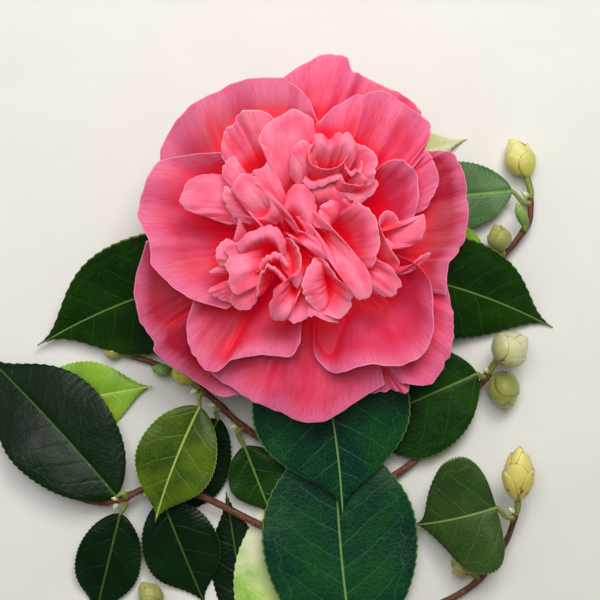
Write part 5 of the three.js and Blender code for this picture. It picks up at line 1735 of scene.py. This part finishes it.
for number, (name, spec) in enumerate(LEAVES.items(), 1):
    made = make_leaf(name, number, spec)
print("leaves made:", len(LEAVES), "with", len(made.data.polygons), "faces each")

# %% [markdown]
# Each leaf's stalk runs on under the blade as the midrib. It's the same kind of tube
# as a twig, green and smooth, and it thins out two thirds of the way to the leaf's tip.

# %% The leaf stalks
PETIOLE = {
    "radius": 0.9, "at_blade": 0.72, "at_end": 0.16, "run": 0.62, "step": 0.8, "foot": 1.35,
    "knots": 9, "under": 0.05, "sunk": 0.9, "rises": 1.5,
}
STALK_RIDGES = (2.2, 2.2, 0.2)
STALK_LOOK = {"Sides": 14, "Relief": 0.12 * MM, "Grain across": 1.2, "Grain along": 0.2}


def stalk_finish(name, deep, light):
    """Smooth green rind with faint long ridges."""
    material, tree, shader = new_finish(name, {"Roughness": 0.42})
    ridges = tree.noise(tree.stretch(tree.parts(tree.attribute("bark")), STALK_RIDGES), detail=3.0)
    paint(tree, shader, tree.blend(tree.rise(ridges, 0.3, 0.7), deep, light), ridges)
    return material


STALKS = {
    False: stalk_finish("leaf_stalk", colour(92, 104, 38), colour(146, 160, 70)),
    True: stalk_finish("leaf_stalk_pale", colour(150, 168, 84), colour(190, 204, 122)),
}


def midrib_places(spec, shares):
    """Places on a leaf's midrib."""
    base, tip = spec["base"], spec["tip"]
    level = unit(np.cross(unit(tip - base), UP))
    middle = (base + tip) / 2 + level * 2 * spec["sweep"] + np.array([0, 0, 2 * spec["arch"]])
    s = shares[:, None]
    return (1 - s) ** 2 * base + 2 * s * (1 - s) * middle + s**2 * tip


def make_stalk(name, spec):
    """A leaf's stalk and the midrib under its blade."""
    spot, out, _ = LEAF_SEATS[name]
    shares = np.linspace(0.0, PETIOLE["run"], PETIOLE["knots"])
    ribs = midrib_places(spec, shares)
    radii = np.interp(shares, [0, PETIOLE["run"]], [PETIOLE["at_blade"], PETIOLE["at_end"]])
    ribs[:, 2] -= radii + PETIOLE["under"]
    path = np.vstack([spot - out * PETIOLE["sunk"], spot + out * PETIOLE["rises"], ribs])
    girths = np.concatenate([[PETIOLE["foot"], PETIOLE["radius"]], radii])
    fine = np.linspace(0, 1, int(run_of(path) / PETIOLE["step"]))
    girths = np.interp(fine, np.linspace(0, 1, len(path)), girths)
    settings = {**STALK_LOOK, "Material": STALKS[spec["pale"]]}
    piece = grow_tube(name + "_stalk", smooth_line(path, fine), girths, settings)
    return settle(piece, name)


for name, spec in LEAVES.items():
    make_stalk(name, spec)
print("leaf stalks made:", len(LEAVES))

# %% [markdown]
# A camellia's flower bud is wrapped in rounded scales that overlap like roof tiles, each
# a golden angle round from the one before. The lowest are the outermost and shortest.
# One tree makes buds and the bloom's calyx: a curved tile is repeated, numbered, and
# laid on a pointed egg by its number, over a closed core of the same outline.

# %% The bud's tree
GOLDEN_ANGLE = math.radians(137.508)
TILE_ACROSS, TILE_ALONG = 15, 15
OFF_AXIS = (0.31, 0.17, 0.94)
CORE_EDGE = 4.0
INNERMOST_STANDS = 0.35
FLARE_FADE = 0.7
SIDES_THINNED = 0.6
TILES_APART = 0.61


def bud_tree():
    """Overlapping tiles on a pointed egg between two places."""
    sizes = (
        "Radius", "Broadest", "Power", "First", "Last", "Overlap", "Half angle",
        "Layer", "Flare", "Thickness", "Turn", "Number", "Core",
    )
    kinds = {"Base": "Vector", "Tip": "Vector", "Scales": "Int", "Material": "Material"}
    tree, given = new_growth("bud", kinds, sizes)
    base, tip = given["Base"], given["Tip"]
    axis = tip - base
    heading = tree.reckon("NORMALIZE", axis)
    one = tree.square_to(heading, OFF_AXIS)
    other = tree.reckon("CROSS_PRODUCT", heading, one)
    exponent = tree.reckon("LOGARITHM", 0.5, given["Broadest"])
    length = tree.length(axis)

    def girth(v):
        """The egg's radius at a share of its length."""
        held = tree.reckon("MINIMUM", tree.reckon("MAXIMUM", v, 0.0005), 1.0)
        rounded = tree.reckon("MAXIMUM", tree.reckon("SINE", held**exponent * math.pi), 0.0)
        return rounded ** given["Power"] * given["Radius"]

    def lay(v, angle, radius):
        """A place beside the bud's axis."""
        spoke = one * tree.reckon("COSINE", angle) + other * tree.reckon("SINE", angle)
        return base + axis * v + spoke * radius

    tile = tree.node("GeometryNodeMeshCube", values={1: TILE_ACROSS, 2: TILE_ALONG, 3: 2})
    one_for_each = {"Count": given["Scales"], "Offset": (0.0, 0.0, 0.0)}
    spots = tree.node("GeometryNodeMeshLine", values=one_for_each)
    tiles = tree.node("GeometryNodeInstanceOnPoints", values={"Points": spots, "Instance": tile})
    tiles = tree.store(tiles, "order", tree.node("GeometryNodeInputIndex"), "FLOAT", "INSTANCE")
    tiles = tree.node("GeometryNodeRealizeInstances", values={0: tiles})
    order = tree.stored("order")
    x, y, z = tree.parts(tree.node("GeometryNodeInputPosition"))
    across, along, face = x * 2.0, y + 0.5, z * 2.0
    late = order / tree.reckon("MAXIMUM", given["Scales"] - 1, 1.0)
    low = given["First"] + (given["Last"] - given["First"]) * late
    v = low + given["Overlap"] * along
    outline = (1 - along**3.0) ** 0.5
    turn = order * GOLDEN_ANGLE + given["Turn"] + across * outline * given["Half angle"]
    stand = (1 - late) * given["Layer"] + given["Layer"] * INNERMOST_STANDS
    flare = along**4.0 * (1 - abs(across) ** 2.0) * given["Flare"] * (1 - late * FLARE_FADE)
    thin = given["Thickness"] * (1 - abs(across) ** 4.0 * SIDES_THINNED)
    radius = girth(v) + stand + flare + face * 0.5 * thin
    tile_at = lay(v, turn, radius)
    width = across * outline * given["Half angle"] * girth(v) / MM
    edge = tree.reckon("MINIMUM", (1 - abs(across)) * 4.0, (1 - along) * given["Overlap"] * length / MM)
    blade = tree.triple(width, v * length / MM, given["Number"] + order * TILES_APART)
    tiles = tree.store(tiles, "blade", blade)
    tiles = tree.store(tiles, "share", tree.triple(edge, v, order))
    tiles = tree.node("GeometryNodeSetPosition", values={"Geometry": tiles, "Position": tile_at})

    ball = {"Segments": 28, "Rings": 20, "Radius": 1.0}
    core = tree.node("GeometryNodeMeshUVSphere", values=ball)
    cx, cy, cz = tree.parts(tree.node("GeometryNodeInputPosition"))
    core_v = 1 - tree.reckon("ARCCOSINE", cz) / math.pi
    core_turn = tree.reckon("ARCTAN2", cy, cx)
    core_radius = girth(core_v) * given["Core"]
    blade = tree.triple(core_turn * core_radius / MM, core_v * length / MM, given["Number"])
    core = tree.store(core, "blade", blade)
    core = tree.store(core, "share", tree.triple(CORE_EDGE, core_v, 0.0))
    core_at = lay(core_v, core_turn, core_radius)
    core = tree.node("GeometryNodeSetPosition", values={"Geometry": core, "Position": core_at})
    whole = tree.node("GeometryNodeJoinGeometry", values={0: [core, tiles]})
    end_growth(tree, whole, given["Material"])
    return tree


BUD = bud_tree()
print("the bud's tree has", len(BUD.tree.nodes), "nodes")

# %% [markdown]
# Bud scales are silky with fine hairs, edged with a thin dry line, and some are scarred
# brown. Eight looks share one rule and differ in their four colours and their scars.

# %% The buds' finishes
BUD_SHADER = {"Roughness": 0.45, "Sheen Weight": 0.25, "Subsurface Weight": 0.05}
BUD_SILK = (3.0, 0.35, 4.0)
BUD_CLOUDS = (0.3, 0.3, 1.0)
BUD_SPOTS = (0.55, 0.36, 3.0)
SCAR = {"size": (0.1, 0.24), "sunk": 0.5}
BUD_SHOWS = {"silk": 0.35, "rim": 0.55}
DRY_RIM = (0.1, 0.55)
BUD_LOOKS = {
    "cream": ((180, 184, 100), (214, 216, 172), (150, 140, 92), (120, 86, 50)),
    "pear": ((124, 132, 48), (168, 172, 84), (118, 104, 50), (96, 70, 30)),
    "scarred": ((204, 192, 70), (234, 220, 124), (128, 84, 40), (120, 44, 12)),
    "olive": ((140, 146, 62), (176, 178, 98), (112, 92, 46), (92, 66, 32)),
    "lemon": ((206, 202, 70), (238, 234, 150), (150, 134, 50), (120, 86, 40)),
    "bright": ((176, 178, 30), (212, 212, 84), (128, 120, 40), (96, 70, 30)),
    "waxy": ((186, 206, 116), (236, 242, 190), (150, 150, 90), (110, 90, 50)),
    "green": ((92, 136, 44), (140, 178, 84), (116, 112, 60), (80, 70, 30)),
}


def bud_finish(name, tints, scars, scar_scale=1.0):
    """Silky scales, from the colours of their body, tip, edge and scars."""
    material, tree, shader = new_finish("bud_" + name, BUD_SHADER)
    blade = tree.parts(tree.attribute("blade"))
    edge, v, _ = tree.parts(tree.attribute("share"))
    silk = tree.noise(tree.stretch(blade, BUD_SILK), detail=3.0)
    cloud = tree.noise(tree.stretch(blade, BUD_CLOUDS))
    scar = tree.fall(tree.spots(tree.stretch(blade, BUD_SPOTS), scar_scale), *SCAR["size"]) * scars
    body, tip, rim, brown = (colour(*tint) for tint in tints)
    mixed = tree.coats(
        tree.blend(tree.rise(v + (cloud - 0.5) * 0.6, 0.1, 0.9), body, tip),
        (tree.rise(silk, 0.35, 0.75) * BUD_SHOWS["silk"], tip),
        (tree.fall(edge, *DRY_RIM) * BUD_SHOWS["rim"], rim),
        (scar, brown),
    )
    paint(tree, shader, mixed, silk - scar * SCAR["sunk"])
    return material


BUD_SCARS = {"scarred": (0.95, 0.6), "cream": (0.12,), "lemon": (0.1,), "waxy": (0.0,)}
USUAL_SCARS = (0.3,)
CALYX_SCARS = 0.25
BUD_FINISHES = {
    name: bud_finish(name, tints, *BUD_SCARS.get(name, USUAL_SCARS)) for name, tints in BUD_LOOKS.items()
}
CALYX_FINISH = bud_finish("calyx", BUD_LOOKS["green"], CALYX_SCARS)
print("bud finishes:", list(BUD_FINISHES))

# %% The buds
BUD_SHAPE = {
    "Broadest": 0.44, "Power": 0.72, "Scales": 8, "First": 0.0, "Last": 0.42, "Overlap": 0.57,
    "Half angle": 1.15, "Core": 0.95,
}
BUD_SIZES = {"Layer": 0.42, "Flare": 0.55, "Thickness": 0.34}
BUD_STANDING = 0.5
OPEN_FLARE = {"bud_sepalled": 1.8}
FULL_SIZE = 5.0
FIRST_TURN = 0.4
NEXT_TURN = 0.9
BUD_STALK = {"steps": 14, "sunk": 1.2, "deepest": 2.0, "foot": 1.15, "top": 1.25}


def bud_settings(base, tip, radius, number, material):
    """What the bud's tree needs for one bud."""
    share = min(1.0, radius / FULL_SIZE)
    return {
        **BUD_SHAPE,
        **{key: size * share * MM for key, size in BUD_SIZES.items()},
        "Base": numbers(base),
        "Tip": numbers(tip),
        "Radius": (radius - BUD_STANDING * share) * MM,
        "Number": float(number),
        "Turn": FIRST_TURN + number * NEXT_TURN,
        "Material": material,
    }


def make_bud_stalk(name, spec):
    """The short stalk between a bud and its twig."""
    spot, out, _ = BUD_SEATS[name]
    axis = spec["tip"] - spec["base"]
    inside = spec["base"] + unit(axis) * min(BUD_STALK["deepest"], np.linalg.norm(axis) / 4)
    path = [spot - out * BUD_STALK["sunk"], spot + out * STALK_RADIUS, inside]
    radii = (STALK_RADIUS * BUD_STALK["foot"], STALK_RADIUS * BUD_STALK["top"])
    girths = np.linspace(*radii, BUD_STALK["steps"])
    settings = {**STALK_LOOK, "Material": STALKS[False]}
    piece = grow_tube(name + "_stalk", trace(path, BUD_STALK["steps"]), girths, settings)
    return settle(piece, name)


for number, (name, spec) in enumerate(BUDS.items(), 1):
    finish = BUD_FINISHES[spec["look"]]
    settings = bud_settings(spec["base"], spec["tip"], spec["radius"], number, finish)
    settings["Flare"] *= OPEN_FLARE.get(name, 1.0)
    made = settle(grow(name + "_scales", BUD, settings), name)
    make_bud_stalk(name, spec)
print("buds made:", len(BUDS), "with", len(made.data.polygons), "faces each")

# %% The calyx
CALYX_SHAPE = {
    "Base": numbers([0.0, 0.0, 20.0]), "Tip": numbers([0.0, 0.0, 36.6]), "Radius": 11.6 * MM,
    "Broadest": 0.5, "Power": 0.8, "Scales": 9, "First": 0.02, "Last": 0.16, "Overlap": 0.34,
    "Half angle": 0.72, "Layer": 0.9 * MM, "Flare": 0.7 * MM, "Thickness": 0.8 * MM,
    "Turn": 0.2, "Number": 40.0, "Core": 0.96, "Material": CALYX_FINISH,
}
calyx = settle(grow("calyx_scales", BUD, CALYX_SHAPE), "calyx")
print("made", calyx.name, "with", len(calyx.data.polygons), "faces")

# %% [markdown]
# In the angle above each leaf sits a small resting bud, and the stem's lower end is a
# clean slanting cut: pale wood inside a dark rind, with a speck of pith. Such marks
# are small, but they're what tells a cut sprig from a moulded one.

# %% The resting buds
RESTING = {"length": 3.4, "radius": 0.95, "lean": 0.8, "above": 0.012, "sunk": 0.6, "ahead": 1.2}
RESTING_SCALES = 4
FIRST_RESTING = 60


def make_resting_buds():
    """A small bud above each leaf stalk's foot, all on the bark of what bears them."""
    made = []
    for number, (name, spec) in enumerate(LEAVES.items(), FIRST_RESTING):
        _, out, share = LEAF_SEATS[name]
        limb = LIMBS[spec["on"]]
        step = int(share * SEAT_SAMPLES) + int(RESTING["above"] * SEAT_SAMPLES)
        step = min(step, SEAT_SAMPLES)
        heading = limb["heading"][step]
        start = limb["line"][step] + out * radius_at(limb, share) * RESTING["sunk"]
        start = start + heading * RESTING["ahead"]
        tip = start + unit(out + heading * RESTING["lean"]) * RESTING["length"]
        settings = bud_settings(start, tip, RESTING["radius"], number, BUD_FINISHES["waxy"])
        settings["Scales"] = RESTING_SCALES
        made.append(settle(grow(name + "_resting_bud", BUD, settings), spec["on"]))
    return made


print("resting buds made:", len(make_resting_buds()))

# %% The cut end of the stem
CUT_RINGS = 14
CUT_SPOKES = 40
CUT_STANDING = 0.12
CUT_SUNK = 0.6
CUT_MARGIN = 0.97
CUT_RIPPLE = {"height": 0.03, "pitch": 30.0}
YEAR_RINGS = 2.4
WOOD_GRAIN = 2200.0
PITH = (0.2, 0.45)
RIND = (2.1, 2.35)
WOOD_TINTS = {
    "early": (202, 178, 128), "late": (226, 208, 164), "grain": (176, 150, 100),
    "pith": (150, 112, 66), "rind": (112, 120, 58),
}


def make_cut_end():
    """The cut face: a shallow closed cap of pale wood that sits on the stem's end."""
    limb = LIMBS["stem_main"]
    centre, heading = limb["line"][0], limb["heading"][0]
    one = unit(np.cross(heading, UP))
    other = np.cross(one, heading)
    radius = radius_at(limb, 0) * CUT_MARGIN
    points, faces = [], []
    for side in (1, -1):
        for ring in range(1, CUT_RINGS + 1):
            share = ring / CUT_RINGS
            stand = -CUT_SUNK
            if side > 0:
                ripple = CUT_RIPPLE["height"] * math.sin(share * CUT_RIPPLE["pitch"])
                stand = CUT_STANDING * (1 - share**6) * 0.5 + ripple
            for spoke in range(CUT_SPOKES):
                turn = 2 * math.pi * spoke / CUT_SPOKES
                spot = one * math.cos(turn) + other * math.sin(turn)
                points.append(centre + spot * radius * share - heading * stand)
    half = CUT_RINGS * CUT_SPOKES
    for side, start in ((1, 0), (-1, half)):
        middle = len(points)
        points.append(centre - heading * (CUT_STANDING * 0.5 if side > 0 else -CUT_SUNK))
        for spoke in range(CUT_SPOKES):
            after = (spoke + 1) % CUT_SPOKES
            faces.append((middle, start + spoke, start + after)[::side])
            for ring in range(CUT_RINGS - 1):
                inner = start + ring * CUT_SPOKES
                outer = inner + CUT_SPOKES
                faces.append((inner + spoke, outer + spoke, outer + after, inner + after)[::side])
    last = (CUT_RINGS - 1) * CUT_SPOKES
    for spoke in range(CUT_SPOKES):
        after = (spoke + 1) % CUT_SPOKES
        faces.append((last + spoke, half + last + spoke, half + last + after, last + after))
    material, tree, shader = new_finish("cut_wood", {"Roughness": 0.75})
    place = tree.place()
    off = tree.length(place - tuple(numbers(centre))) / MM
    grain = tree.noise(place, WOOD_GRAIN, detail=3.0)
    rings = tree.noise(tree.triple(off * YEAR_RINGS, 0.0, 0.0))
    tint = {part: colour(*shade) for part, shade in WOOD_TINTS.items()}
    wood = tree.coats(
        tree.blend(tree.rise(rings, 0.3, 0.7), tint["early"], tint["late"]),
        (grain * 0.3, tint["grain"]),
        (tree.fall(off, *PITH), tint["pith"]),
        (tree.rise(off, *RIND), tint["rind"]),
    )
    paint(tree, shader, wood)
    return solid("stem_cut", points, faces, material, "stem_main")


print("made", make_cut_end().name)
